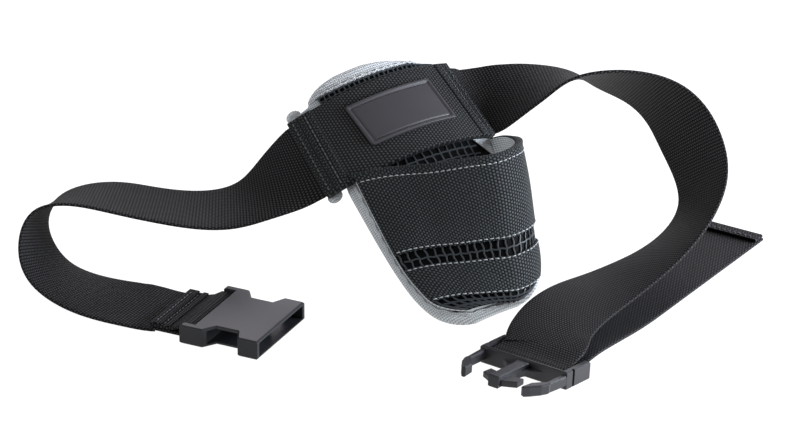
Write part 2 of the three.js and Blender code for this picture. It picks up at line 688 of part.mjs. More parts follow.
function crossBar(x, halfWidth) {
  const geometry = new THREE.CylinderGeometry(barRadius, barRadius, 2 * halfWidth, 12);
  geometry.translate(x, 0, barHeight);
  return toManifold(geometry);
}

const mirrored = (points) => [...points, ...points.map(([x, y]) => [x, -y]).reverse()];

// Female half: cheeks at the strap end, a waist with side windows, and a hollow open mouth
function socketPiece() {
  const back = -socketLength / 2;
  const front = socketLength / 2;
  const half = buckleWidth / 2;
  const waist = half - 8;
  const cheek = 4.5;
  const outline = mirrored([
    [back, half], [back + 15, half], [back + 20.5, waist], [front - 17, waist],
    [front - 13, half], [front, half],
  ]);
  const body = slab(outline, 0, buckleHeight, 1);
  const plateStart = back + 8.5;
  const strapSlot = block(back - 1, plateStart, -half + cheek, half - cheek, -1, buckleHeight + 1);
  const cavityStart = back + 16;
  const cavity = block(
    cavityStart, front + 1, -half + shellWall + 0.8, half - shellWall - 0.8, shellWall, buckleHeight - shellWall,
  );
  const guide = block(cavityStart - 1, front - 7, -1, 1, shellWall - 0.5, shellWall + 2.5);
  const window = block(back + 21, front - 15, -half - 1, half + 1, shellWall, buckleHeight - shellWall);
  const solid = body.subtract(strapSlot).subtract(cavity).subtract(window).add(guide)
    .add(crossBar(socketBar, half - cheek + 0.5));
  return onFrame(named('female_buckle', fromManifold(solid), finish.moulded), socketFrame);
}

// Male half: strap frame with two bars, a centre prong with barbs, and two spring arms
function plugPiece() {
  const half = plugWidth / 2;
  const cheek = 3.5;
  const top = buckleHeight - 1;
  const inner = half - cheek;
  const wall = plugBar + loopRadius + webbingThick / 2 + gap;
  const wallThick = 1.6;
  const frame = slab(mirrored([[-plugTail, half], [wall + wallThick, half]]), 0, top, 0.8);
  const opening = block(-plugTail - 1, wall, -inner, inner, -1, top + 1);
  const notchDepth = 1.4;
  const notch = (side) => {
    const middle = side * (half - notchDepth / 2 + 0.5);
    return block(-4.6, -2.6, middle - notchDepth, middle + notchDepth, -1, top + 1);
  };
  const armLow = 2.5;
  const armHigh = 9;
  const arm = (side) => slab([
    [wall, half], [plugReach - 16, half - 1.2], [plugReach - 14, half - 0.8], [plugReach - 9, half - 2.6],
    [plugReach - 3, half - 6.5], [plugReach, half - 9], [plugReach - 1, half - 11], [plugReach - 9, half - 10],
    [plugReach - 14.5, half - 6], [plugReach - 16, half - 4.2], [wall, half - 4.4],
  ].map(([x, y]) => [x, side * y]), armLow, armHigh, 0.8);
  const spine = slab(mirrored([
    [wall, 5.5], [wall + 5, 3.6], [plugReach - 3, 3.2], [plugReach - 1, 3.6],
  ]), 2, armHigh + 0.6, 0.6);
  const web = slab(mirrored([
    [wall, 17], [wall + 3.5, 10.5], [wall + 8, 6], [wall + 14, 3], [wall + 15, 1],
  ]), 3.6, 6.6, 0);
  const barb = (side) => slab([
    [plugReach - 13, 2], [plugReach - 15, 11.5], [plugReach - 8, 12], [plugReach - 3.5, 4], [plugReach - 4, 2],
  ].map(([x, y]) => [x, side * y]), 3, 6.8, 0.4);
  const rearBar = block(-plugTail, -plugTail + 3, -inner - 0.5, inner + 0.5, 0.4, 3);
  let solid = frame.subtract(opening).subtract(notch(1)).subtract(notch(-1));
  for (const piece of [arm(1), arm(-1), spine, web, barb(1), barb(-1), crossBar(plugBar, inner + 0.5), rearBar]) {
    solid = solid.add(piece);
  }
  return onFrame(named('male_buckle', fromManifold(solid), finish.moulded), plugFrame);
}

const belt = new THREE.Group();
belt.add(padGroup, leftWebbing(), rightWebbing(), tailWebbing(), tailHemPiece(), socketPiece(), plugPiece());
belt.updateMatrixWorld(true);

// The origin is the middle of the foot print, on the table
const reach = new THREE.Box3().setFromObject(belt, true);
belt.position.set(-(reach.min.x + reach.max.x) / 2, -(reach.min.y + reach.max.y) / 2, -reach.min.z);
belt.updateMatrixWorld(true);

export default belt;
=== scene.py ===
"""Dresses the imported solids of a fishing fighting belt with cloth, net, webbing and moulded plastic.

The belt lies unclipped on a table. A curved belly pad leans back behind its sewn pouch, a belt of
50 mm webbing runs through a sleeve across the pad, and both of its runs bend round in front.
Lengths in the classes are millimetres in the maker's own frame, where the table is z = 0. One
shift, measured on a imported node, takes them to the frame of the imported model, in metres.
"""

import json
import logging
import math
import sys
from dataclasses import dataclass, field
from enum import Enum

import bpy  # noqa: E402
import numpy as np  # noqa: E402
from mathutils import Matrix, Vector  # noqa: E402

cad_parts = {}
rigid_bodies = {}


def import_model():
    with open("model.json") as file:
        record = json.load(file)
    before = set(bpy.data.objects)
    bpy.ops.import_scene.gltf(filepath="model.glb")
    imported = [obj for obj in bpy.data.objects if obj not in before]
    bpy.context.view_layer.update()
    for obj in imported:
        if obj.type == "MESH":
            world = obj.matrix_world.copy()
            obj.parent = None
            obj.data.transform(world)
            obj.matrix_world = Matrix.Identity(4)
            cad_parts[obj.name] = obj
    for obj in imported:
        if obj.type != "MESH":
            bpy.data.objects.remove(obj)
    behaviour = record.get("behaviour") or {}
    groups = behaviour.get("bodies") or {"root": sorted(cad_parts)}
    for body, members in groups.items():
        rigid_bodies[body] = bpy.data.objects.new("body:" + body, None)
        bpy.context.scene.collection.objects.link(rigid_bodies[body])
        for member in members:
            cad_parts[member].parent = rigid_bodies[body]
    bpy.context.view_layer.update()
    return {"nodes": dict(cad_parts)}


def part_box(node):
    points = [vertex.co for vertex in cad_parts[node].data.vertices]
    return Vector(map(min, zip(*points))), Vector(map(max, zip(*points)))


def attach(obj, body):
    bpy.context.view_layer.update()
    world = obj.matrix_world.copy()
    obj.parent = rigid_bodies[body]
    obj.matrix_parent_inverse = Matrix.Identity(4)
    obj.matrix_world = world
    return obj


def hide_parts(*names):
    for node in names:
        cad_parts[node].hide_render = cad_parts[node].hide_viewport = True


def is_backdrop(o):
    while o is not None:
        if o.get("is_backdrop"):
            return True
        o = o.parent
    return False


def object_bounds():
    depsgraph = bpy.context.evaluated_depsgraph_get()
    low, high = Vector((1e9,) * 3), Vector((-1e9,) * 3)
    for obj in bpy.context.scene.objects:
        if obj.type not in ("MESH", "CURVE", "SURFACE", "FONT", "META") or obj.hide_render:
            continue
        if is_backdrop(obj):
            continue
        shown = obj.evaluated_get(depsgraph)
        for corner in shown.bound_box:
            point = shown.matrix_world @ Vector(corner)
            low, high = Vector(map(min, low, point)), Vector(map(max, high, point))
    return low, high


Array = np.ndarray
Object = bpy.types.Object
Material = bpy.types.Material
Tree = bpy.types.NodeTree
Socket = bpy.types.NodeSocket
LOG = logging.getLogger("fighting_belt")
MM = 0.001


class Slot(Enum):
    """Material slots of the record."""

    SPACER = "spacer_mesh"
    NET = "net"
    WEBBING = "webbing"
    RUBBER = "label_rubber"
    PLASTIC = "buckle_plastic"


# Mesh building


@dataclass
class Surface:
    """Points, faces and cloth coordinates of one piece.

    points is (n, 3) in millimetres, quads (m, 4) and tris (k, 3) index it, and uv is (n, 2) in metres.
    """

    points: Array
    quads: Array
    uv: Array
    tris: Array = field(default_factory=lambda: np.zeros((0, 3), int))

    def turned(self) -> "Surface":
        """Returns the same surface with all its faces turned round."""
        return Surface(self.points, self.quads[:, ::-1], self.uv, self.tris[:, ::-1])

    def volume(self) -> float:
        """Returns the signed volume: the sum of the corner determinants of its triangles over six."""
        fans = [self.quads[:, [0, 1, 2]], self.quads[:, [0, 2, 3]], self.tris]
        a, b, c = (self.points[np.concatenate(fans)[:, k]] for k in range(3))
        return float(np.einsum("ij,ij->i", a, np.cross(b, c)).sum() / 6)


def joined(parts: list[Surface]) -> Surface:
    """Returns several surfaces as one, each with its faces outwards.

    Args:
        parts: closed surfaces.

    Returns:
        One surface that holds them all.
    """
    parts = [p if p.volume() > 0 else p.turned() for p in parts]
    starts = np.cumsum([0] + [len(p.points) for p in parts[:-1]])
    return Surface(
        np.concatenate([p.points for p in parts]),
        np.concatenate([p.quads + s for p, s in zip(parts, starts)]),
        np.concatenate([p.uv for p in parts]),
        np.concatenate([p.tris + s for p, s in zip(parts, starts)]),
    )


def grid_quads(rows: int, cols: int, wrap: bool = False) -> Array:
    """Returns the quads of a grid of points numbered row by row.

    Args:
        rows: number of rows of points.
        cols: number of columns of points.
        wrap: whether the last column joins the first.

    Returns:
        (m, 4) indices.
    """
    i = np.arange(rows - 1)[:, None]
    j = np.arange(cols if wrap else cols - 1)[None, :]
    k = (j + 1) % cols
    return np.stack([i * cols + j, i * cols + k, (i + 1) * cols + k, (i + 1) * cols + j], -1).reshape(-1, 4)


def closed_sheet(front: Array, back: Array, uv: Array) -> Surface:
    """Returns a sheet with two faces and a rim: front and back grids joined round their borders.

    Args:
        front: (rows, cols, 3) points of one face.
        back: (rows, cols, 3) points of the other face.
        uv: (rows, cols, 2) cloth coordinates, shared by both faces.

    Returns:
        The closed surface.
    """
    rows, cols = front.shape[:2]
    count = rows * cols
    index = np.arange(count).reshape(rows, cols)
    rim = np.concatenate([index[0, :-1], index[:-1, -1], index[-1, :0:-1], index[:0:-1, 0]])
    after = np.roll(rim, -1)
    face = grid_quads(rows, cols)
    quads = np.concatenate([face, face[:, ::-1] + count, np.stack([after, rim, rim + count, after + count], -1)])
    points = np.concatenate([front.reshape(-1, 3), back.reshape(-1, 3)])
    return Surface(points, quads, np.concatenate([uv.reshape(-1, 2)] * 2))


def closed_loft(rings: Array, uv: Array) -> Surface:
    """Returns a closed loft through rings of points, with a fan of triangles at each end.

    Args:
        rings: (k, n, 3) points.
        uv: (k, n, 2) cloth coordinates.

    Returns:
        The closed surface.
    """
    count, n = rings.shape[:2]
    j = np.arange(n)
    k = (j + 1) % n
    first = np.full(n, count * n)
    fan_start = np.stack([first, k, j], -1)
    fan_end = np.stack([first + 1, (count - 1) * n + j, (count - 1) * n + k], -1)
    points = np.concatenate([rings.reshape(-1, 3), [rings[0].mean(0), rings[-1].mean(0)]])
    cloth = np.concatenate([uv.reshape(-1, 2), [uv[0].mean(0), uv[-1].mean(0)]])
    return Surface(points, grid_quads(count, n, wrap=True), cloth, np.concatenate([fan_start, fan_end]))


def unit(vectors: Array) -> Array:
    """Returns vectors divided by their lengths."""
    return vectors / np.maximum(np.linalg.norm(vectors, axis=-1, keepdims=True), 1e-12)


def reached(points: Array, axis: int = 0) -> Array:
    """Returns the length walked along points up to each of them, which starts at 0."""
    steps = np.diff(points, axis=axis, prepend=np.take(points, [0], axis))
    return np.cumsum(np.linalg.norm(steps, axis=-1), axis=axis)


def cloth_uv(across: Array, down: Array) -> Array:
    """Returns cloth coordinates in metres from two arrays of millimetres that broadcast together."""
    return np.stack(np.broadcast_arrays(across * MM, down * MM), -1)


def strand_bundle(paths: Array, normals: Array, half_width: Array | float, half_height: Array | float) -> Surface:
    """Returns many strands at once: a six-sided section carried along each path.

    A ring point is the path's point plus the side vector times cos and the normal times sin.

    Args:
        paths: (s, k, 3) points of s strands.
        normals: (s, k, 3) directions out of the cloth.
        half_width: half width, one for all or one for each of the k points.
        half_height: half height, given in the same way.

    Returns:
        One surface of s closed strands.
    """
    strands, steps = paths.shape[:2]
    side = unit(np.cross(np.gradient(paths, axis=1), normals))
    turn = np.arange(6) * math.pi / 3
    half_width, half_height = (np.broadcast_to(half, (steps,)) for half in (half_width, half_height))
    wide = (np.cos(turn)[None, :] * half_width[:, None])[None, :, :, None]
    high = (np.sin(turn)[None, :] * half_height[:, None])[None, :, :, None]
    points = paths[:, :, None] + side[:, :, None] * wide + normals[:, :, None] * high
    one = np.concatenate([
        grid_quads(steps, 6, wrap=True),
        [[3, 2, 1, 0], [5, 4, 3, 0]],
        (steps - 1) * 6 + np.array([[0, 1, 2, 3], [0, 3, 4, 5]]),
    ])
    quads = (one[None] + (np.arange(strands) * steps * 6)[:, None, None]).reshape(-1, 4)
    uv = cloth_uv(reached(paths, 1)[:, :, None], turn[None, None] * half_width[0])
    return Surface(points.reshape(-1, 3), quads, uv.reshape(-1, 2))


def stitch_row(course: Array, normals: Array, length: float, space: float, width: float) -> Surface:
    """Returns a row of stitches along a course, each a small bowed thread of five rings.

    Args:
        course: (k, 3) points close together.
        normals: (k, 3) directions out of the cloth.
        length: length of one stitch.
        space: bare length between two stitches.
        width: thickness of the thread.

    Returns:
        One surface of all the stitches.
    """
    at = reached(course)
    starts = np.arange(space, at[-1] - length, length + space)
    share = np.array([0, 0.18, 0.5, 0.82, 1])
    where = starts[:, None] + share[None] * length
    points = np.stack([np.interp(where, at, course[:, k]) for k in range(3)], -1)
    out = unit(np.stack([np.interp(where, at, normals[:, k]) for k in range(3)], -1))
    bow = np.array([-0.3, 0.25, 0.4, 0.25, -0.3]) * width
    taper = np.array([0.55, 0.95, 1, 0.95, 0.55]) * width / 2
    return strand_bundle(points + out * bow[None, :, None], out, taper, taper)


def placed(name: str, data: bpy.types.ID) -> Object:
    """Returns a new object with that data, linked into the scene."""
    made = bpy.data.objects.new(name, data)
    bpy.context.scene.collection.objects.link(made)
    return made


@dataclass(frozen=True)
class Workshop:
    """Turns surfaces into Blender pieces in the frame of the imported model.

    shift is what is added to millimetres of the maker's frame before they become metres, and edges
    that turn by more than sharp degrees stay sharp.
    """

    shift: Array
    sharp: float = 50.0

    def points(self, points: Array) -> Array:
        """Returns maker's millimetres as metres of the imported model's frame."""
        return (np.asarray(points) + self.shift) * MM

    def piece(
        self, name: str, surface: Surface, material: Material, stands_for: tuple[str, ...] = ()
    ) -> Object:
        """Makes one piece that rides on the belt's body.

        Args:
            name: the piece's name.
            surface: its closed surface, in millimetres.
            material: its finish.
            stands_for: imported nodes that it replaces.

        Returns:
            The object.
        """
        if surface.volume() < 0:
            surface = surface.turned()
        mesh = bpy.data.meshes.new(name)
        quads, tris = surface.quads, surface.tris
        mesh.vertices.add(len(surface.points))
        mesh.vertices.foreach_set("co", self.points(surface.points).astype(np.float32).ravel())
        corners = np.concatenate([quads.ravel(), tris.ravel()]).astype(np.int32)
        sizes = np.concatenate([np.full(len(quads), 4), np.full(len(tris), 3)])
        mesh.loops.add(len(corners))
        mesh.loops.foreach_set("vertex_index", corners)
        mesh.polygons.add(len(sizes))
        mesh.polygons.foreach_set("loop_start", np.concatenate([[0], np.cumsum(sizes)[:-1]]).astype(np.int32))
        mesh.polygons.foreach_set("use_smooth", np.ones(len(sizes), bool))
        cloth = mesh.uv_layers.new(name="cloth")
        cloth.data.foreach_set("uv", surface.uv[corners].astype(np.float32).ravel())
        mesh.update(calc_edges=True)
        mesh.validate()
        mesh.set_sharp_from_angle(angle=math.radians(self.sharp))
        mesh.materials.append(material)
        made = placed(name, mesh)
        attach(made, "root")
        if stands_for:
            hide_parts(*stands_for)
        LOG.info("%s: %d faces, for %s", name, len(sizes), ", ".join(stands_for) or "detail")
        return made


# Materials


def linear(hex_colour: str) -> tuple[float, float, float, float]:
    """Returns an sRGB hex colour as linear RGBA.

    Args:
        hex_colour: six hex digits.

    Returns:
        Linear red, green, blue and alpha 1.
    """
    parts = [int(hex_colour[k:k + 2], 16) / 255 for k in (0, 2, 4)]
    low = [p / 12.92 if p <= 0.04045 else ((p + 0.055) / 1.055) ** 2.4 for p in parts]
    return (low[0], low[1], low[2], 1.0)


def add_node(tree: Tree, kind: str, inputs: dict | None = None, **settings: object) -> bpy.types.Node:
    """Adds one shader node with its settings and links.

    Args:
        tree: the material's node tree.
        kind: the node's type.
        inputs: sockets by name or number, each with a value or with the output that feeds it.
        **settings: the node's own properties.

    Returns:
        The node.
    """
    made = tree.nodes.new(kind)
    for key, value in settings.items():
        setattr(made, key, value)
    for key, value in (inputs or {}).items():
        if isinstance(value, Socket):
            tree.links.new(value, made.inputs[key])
        else:
            made.inputs[key].default_value = value
    return made


def maths(tree: Tree, operation: str, *values: object) -> Socket:
    """Returns the result of one Math node on values or sockets."""
    return add_node(tree, "ShaderNodeMath", dict(enumerate(values)), operation=operation).outputs[0]


def noise(tree: Tree, place: Socket, scale: float, detail: float) -> Socket:
    """Returns the value of a noise that has scale grains to the metre."""
    return add_node(tree, "ShaderNodeTexNoise", {"Vector": place, "Scale": scale, "Detail": detail}).outputs["Fac"]


def wave(tree: Tree, turned: Socket) -> Socket:
    """Returns |sin| of a socket that counts in radians."""
    return maths(tree, "ABSOLUTE", maths(tree, "SINE", turned))


def two_tone(tree: Tree, tone: Socket, low: str, high: str) -> Socket:
    """Returns a colour between two hex colours: low where tone is 0 and high where it is 1 or more."""
    ends = {"Factor": tone, "A": linear(low), "B": linear(high)}
    made = add_node(tree, "ShaderNodeMix", ends, data_type="RGBA", clamp_factor=True)
    return next(s for s in made.outputs if s.type == "RGBA")


def bumped(tree: Tree, height: Socket, relief: float, strength: float) -> Socket:
    """Returns the normal of a bump whose full height is relief, in millimetres."""
    inputs = {"Height": height, "Distance": relief * MM, "Strength": strength}
    return add_node(tree, "ShaderNodeBump", inputs).outputs[0]


def new_material(name: str) -> tuple[Material, Tree]:
    """Returns a material and its node tree, which holds a Principled shader."""
    material = bpy.data.materials.new(name)
    material.use_nodes = True
    return material, material.node_tree


def shade(tree: Tree, **inputs: object) -> None:
    """Sets or feeds inputs of a tree's Principled shader, with low lines for the spaces in their names."""
    shader = tree.nodes["Principled BSDF"]
    for key, value in inputs.items():
        socket = shader.inputs[key.replace("_", " ")]
        if isinstance(value, Socket):
            tree.links.new(value, socket)
        else:
            socket.default_value = value


@dataclass(frozen=True)
class WovenNylon:
    """Plain woven nylon or polyester: columns of raised yarn dots, every second column half a dot lower.

    Melt-spun yarn has an IOR near 1.53. Each dot's crown is painted pale, a painted highlight, and the
    hollows between dots are painted dark, a painted shade, darker as the power on height rises; broad
    random patches of painted sheen vary the tone. Grazing light lifts the cloth to a soft grey, which the
    sheen gives. Sizes are millimetres, and patches and fuzz are grains to the metre. dome rounds the dots.
    """

    name: str
    shaded_hollow: str
    crown: str
    column: float
    dot: float
    relief: float = 0.25
    rough: float = 0.62
    sheen: float = 0.03
    gloss: float = 0.3
    swap: bool = False
    sheen_blotch: float = 0.5
    dome: float = 0.6
    hollow_shading: float = 3.0
    patches: float = 28.0
    fuzz: float = 1500.0

    def build(self) -> Material:
        """Builds the material: height is a power of |sin column| times |sin dot|; crowns are painted pale (painted
        highlight) and hollows dark (painted shade).
        """
        material, tree = new_material(self.name)
        cloth = add_node(tree, "ShaderNodeUVMap", uv_map="cloth").outputs[0]
        split = add_node(tree, "ShaderNodeSeparateXYZ", {0: cloth})
        across, down = (split.outputs[1], split.outputs[0]) if self.swap else (split.outputs[0], split.outputs[1])
        column = maths(tree, "MULTIPLY", across, 1 / (self.column * MM))
        odd = maths(tree, "FLOORED_MODULO", maths(tree, "FLOOR", column), 2.0)
        dot = maths(tree, "MULTIPLY_ADD", down, 1 / (self.dot * MM), maths(tree, "MULTIPLY", odd, 0.5))
        waves = [wave(tree, maths(tree, "MULTIPLY", x, math.pi)) for x in (column, dot)]
        height = maths(tree, "POWER", maths(tree, "MULTIPLY", *waves), self.dome)
        place = add_node(tree, "ShaderNodeTexCoord").outputs["Object"]
        patch, fuzz = noise(tree, place, self.patches, 3.0), noise(tree, place, self.fuzz, 1.0)
        # Broad noise patches lighten and darken the tone at random: painted sheen
        sheen_patch_tone = maths(tree, "MULTIPLY_ADD", patch, self.sheen_blotch, 0.9 - self.sheen_blotch / 2)
        yarn = maths(tree, "MULTIPLY_ADD", fuzz, 0.3, 0.9)
        # Tone is pale on the dot crowns, a painted highlight, and dark in the hollows, a painted shade, times the
        # patches of painted sheen and the yarn fuzz
        tone = maths(tree, "MULTIPLY", maths(tree, "POWER", height, self.hollow_shading), maths(tree, "MULTIPLY", sheen_patch_tone, yarn))
        shade(
            tree, Base_Color=two_tone(tree, tone, self.shaded_hollow, self.crown),
            Normal=bumped(tree, maths(tree, "MULTIPLY", height, yarn), self.relief, 0.9),
            Roughness=self.rough, IOR=1.53, Specular_IOR_Level=self.gloss, Sheen_Weight=self.sheen, Sheen_Roughness=0.4,
        )
        return material


@dataclass(frozen=True)
class SpacerMesh:
    """Warp-knitted polyester spacer fabric: pale, soft, with fine ribs and open pores between them.

    The pores and the sides of the ribs are painted darker, a painted shade, so the cloth is speckled grey, and it has
    almost no gloss.
    """

    name: str = "spacer_fabric_knitted"
    shaded_pore: str = "80868b"
    yarn: str = "f6f8f9"
    rib: float = 1.5
    stitch: float = 1.3
    relief: float = 0.35

    def build(self) -> Material:
        """Builds the material: ribs are |sin| of one cloth direction, pores the product with the other."""
        material, tree = new_material(self.name)
        cloth = add_node(tree, "ShaderNodeUVMap", uv_map="cloth").outputs[0]
        split = add_node(tree, "ShaderNodeSeparateXYZ", {0: cloth})
        place = add_node(tree, "ShaderNodeTexCoord").outputs["Object"]
        wander = noise(tree, place, 180.0, 2.0)
        waves = []
        for socket, pitch in ((split.outputs[0], self.stitch), (split.outputs[1], self.rib)):
            turned = maths(tree, "MULTIPLY_ADD", wander, 1.6, maths(tree, "MULTIPLY", socket, math.pi / (pitch * MM)))
            waves.append(wave(tree, turned))
        ribs, pores = maths(tree, "POWER", waves[1], 0.5), maths(tree, "MULTIPLY_ADD", waves[0], 0.5, 0.5)
        height = maths(tree, "MULTIPLY", ribs, pores)
        # Tone is darker in the pores and down the ribs' sides, a painted shade, with a random drift
        tone = maths(tree, "MULTIPLY", height, maths(tree, "MULTIPLY_ADD", noise(tree, place, 45.0, 4.0), 0.7, 0.65))
        shade(
            tree, Base_Color=two_tone(tree, tone, self.shaded_pore, self.yarn),
            Normal=bumped(tree, height, self.relief, 1.0), Roughness=0.92, Sheen_Weight=0.2,
        )
        return material


@dataclass(frozen=True)
class SmoothPolymer:
    """Moulded plastic, soft rubber or coated yarn: one colour that drifts a little, with a fine grain.

    grain is the size of the tool's texture in millimetres, drawn coarse enough to show.
    """

    name: str
    base: str
    lift: str
    rough: float
    ior: float
    grain: float = 0.6
    relief: float = 0.02
    drift: float = 30.0

    def build(self) -> Material:
        """Builds the material: colour drifts with a broad noise, gloss and bump follow a fine one."""
        material, tree = new_material(self.name)
        place = add_node(tree, "ShaderNodeTexCoord").outputs["Object"]
        broad, fine = noise(tree, place, self.drift, 3.0), noise(tree, place, 1 / (self.grain * MM), 2.0)
        shade(
            tree, Base_Color=two_tone(tree, broad, self.base, self.lift), Normal=bumped(tree, fine, self.relief, 0.7),
            Roughness=maths(tree, "MULTIPLY_ADD", fine, 0.16, self.rough - 0.08), IOR=self.ior,
        )
        return material


def finish(look: WovenNylon | SpacerMesh | SmoothPolymer) -> Material:
    """Returns a field of Finishes that builds its material when Finishes is made."""
    return field(default_factory=look.build)


@dataclass
class Finishes:
    """All the finishes of the belt, built once. Woven ones give hollow colour (painted shade), crown colour (painted
    highlight), column and dot.
    """

    # Ribs run across the belt's webbing, 1.9 mm apart, each a row of dots 1.8 mm long
    webbing: Material = finish(
        WovenNylon("nylon_webbing_woven", "010101", "4f4e50", 1.9, 1.8, swap=True, gloss=0.12, sheen=0.01)
    )
    sleeve: Material = finish(WovenNylon("nylon_webbing_sleeve", "010101", "545556", 1.8, 1.9, gloss=0.2))
    # Ballistic nylon of the bands: columns 1.65 mm apart with dots 2.2 mm long
    band: Material = finish(
        WovenNylon("ballistic_nylon_woven", "010101", "5c6163", 1.65, 2.2, relief=0.4, gloss=0.2)
    )
    spacer: Material = finish(SpacerMesh())
    # Vinyl-coated polyester net: a little gloss on round strands
    strand: Material = finish(SmoothPolymer("coated_net_strand", "3c4043", "4e5357", 0.45, 1.5))
    # A darker copy of the net strand for the pouch's net, which lies in shade: painted shade
    shaded_strand: Material = finish(SmoothPolymer("coated_net_strand_shaded", "34383b", "474b4e", 0.45, 1.5))
    backing: Material = finish(
        WovenNylon("black_lining_woven", "020203", "0b0c0e", 0.9, 0.9, relief=0.1, sheen=0.0, gloss=0.1)
    )
    # Soft moulded rubber of the blank label, matt
    rubber: Material = finish(SmoothPolymer("label_rubber_moulded", "3c393d", "444145", 0.55, 1.5, grain=0.7))
    # Acetal, moulded and lightly textured: satin, dark, with soft highlights on its edges
    plastic: Material = finish(SmoothPolymer("acetal_moulded", "2a2a2d", "343437", 0.36, 1.48, relief=0.03))
    thread: Material = finish(SmoothPolymer("polyester_thread_pale", "b0b2b3", "d0d2d3", 0.7, 1.5))
    dark_thread: Material = finish(SmoothPolymer("polyester_thread_dark", "4b4f52", "63676a", 0.6, 1.5))


# The pad's curved space


def column_at(table: Array, column: int, at: Array) -> Array:
    """Returns a smooth value of a table's column: cubic pieces whose slopes follow the rows beside them.

    Args:
        table: rows whose first column rises.
        column: the column wanted.
        at: where, in terms of the first column.

    Returns:
        Values of the same shape as at.
    """
    x, y = table[:, 0], table[:, column]
    at = np.asarray(at, float)
    k = np.searchsorted(x[1:-1], at, side="left")
    before, after = np.maximum(k - 1, 0), np.minimum(k + 2, len(x) - 1)
    span = x[k + 1] - x[k]
    straight = (y[k + 1] - y[k]) / span
    slope_a = np.where(k == 0, straight, (y[k + 1] - y[before]) / (x[k + 1] - x[before]))
    slope_b = np.where(k + 2 >= len(x), straight, (y[after] - y[k]) / (x[after] - x[k]))
    t = np.clip((at - x[k]) / span, 0, 1)
    rise = (2 * t**3 - 3 * t**2 + 1) * y[k] + (3 * t**2 - 2 * t**3) * y[k + 1]
    return rise + (t**3 - 2 * t**2 + t) * span * slope_a + (t**3 - t**2) * span * slope_b


def turn_about(axis: str, degrees: float) -> Array:
    """Returns the 3 by 3 matrix of a turn about the x or z axis."""
    c, s = math.cos(math.radians(degrees)), math.sin(math.radians(degrees))
    if axis == "x":
        return np.array([[1, 0, 0], [0, c, -s], [0, s, c]])
    return np.array([[c, -s, 0], [s, c, 0], [0, 0, 1]])


@dataclass(frozen=True)
class PadSpace:
    """Layers of the pad: how deep each one lies, and where the pad stands on the table.

    Depths count out from the pad's middle layer, and lengths along its curve from its middle line. The
    strap leaves the sleeve at strap_entry and strap_exit, a little past the sleeve's own ends.
    """

    bend: float = 92.0
    net_back: float = 3.3
    net_face: float = 4.7
    strap_depth: float = 6.0
    sleeve_inner: float = 7.3
    sleeve_outer: float = 8.9
    hem_thick: float = 1.0
    sleeve_middle: float = -2.8
    sleeve_left: float = -60.0
    strap_entry: float = -62.5
    sleeve_right: float = 48.0
    strap_exit: float = 53.5
    sleeve_skew: float = 0.15
    skew_start: float = -50.0
    skew_reach: float = 35.0
    turn: Array = field(default_factory=lambda: turn_about("z", 22) @ turn_about("x", 37) @ turn_about("z", 10))
    place: Array = field(default_factory=lambda: np.array([3.0, -53.0, 89.1]))

    def local(self, along: Array, rise: Array, depth: Array) -> Array:
        """Returns a point of the belly curve: along its arc, up the pad, and out from its middle layer."""
        along, rise, depth = np.broadcast_arrays(along, rise, depth)
        angle, radius = along / self.bend, self.bend + depth
        return np.stack([radius * np.sin(angle), rise, radius * np.cos(angle) - self.bend], -1)

    def out(self, points: Array) -> Array:
        """Returns points of the pad's own frame as points over the table."""
        return points @ self.turn.T + self.place

    def world(self, along: Array, rise: Array, depth: Array) -> Array:
        """Returns points of the belly curve over the table."""
        return self.out(self.local(along, rise, depth))

    def skewed(self, along: Array, rise: Array) -> Array:
        """Returns arc lengths after the sleeve's slant: from its left end on, its lower part slips right."""
        share = np.clip((np.asarray(along) - self.skew_start) / self.skew_reach, 0, 1)
        return along - self.sleeve_skew * (np.asarray(rise) - self.sleeve_middle) * share * share * (3 - 2 * share)

    def outward(self, along: Array) -> Array:
        """Returns the direction out of the pad at an arc length."""
        angle = np.asarray(along) / self.bend
        return np.stack([np.sin(angle), np.zeros_like(angle), np.cos(angle)], -1) @ self.turn.T


def cosine_steps(count: int) -> Array:
    """Returns shares from 0 to 1 that crowd towards both ends."""
    return 0.5 - 0.5 * np.cos(np.linspace(0, math.pi, count))


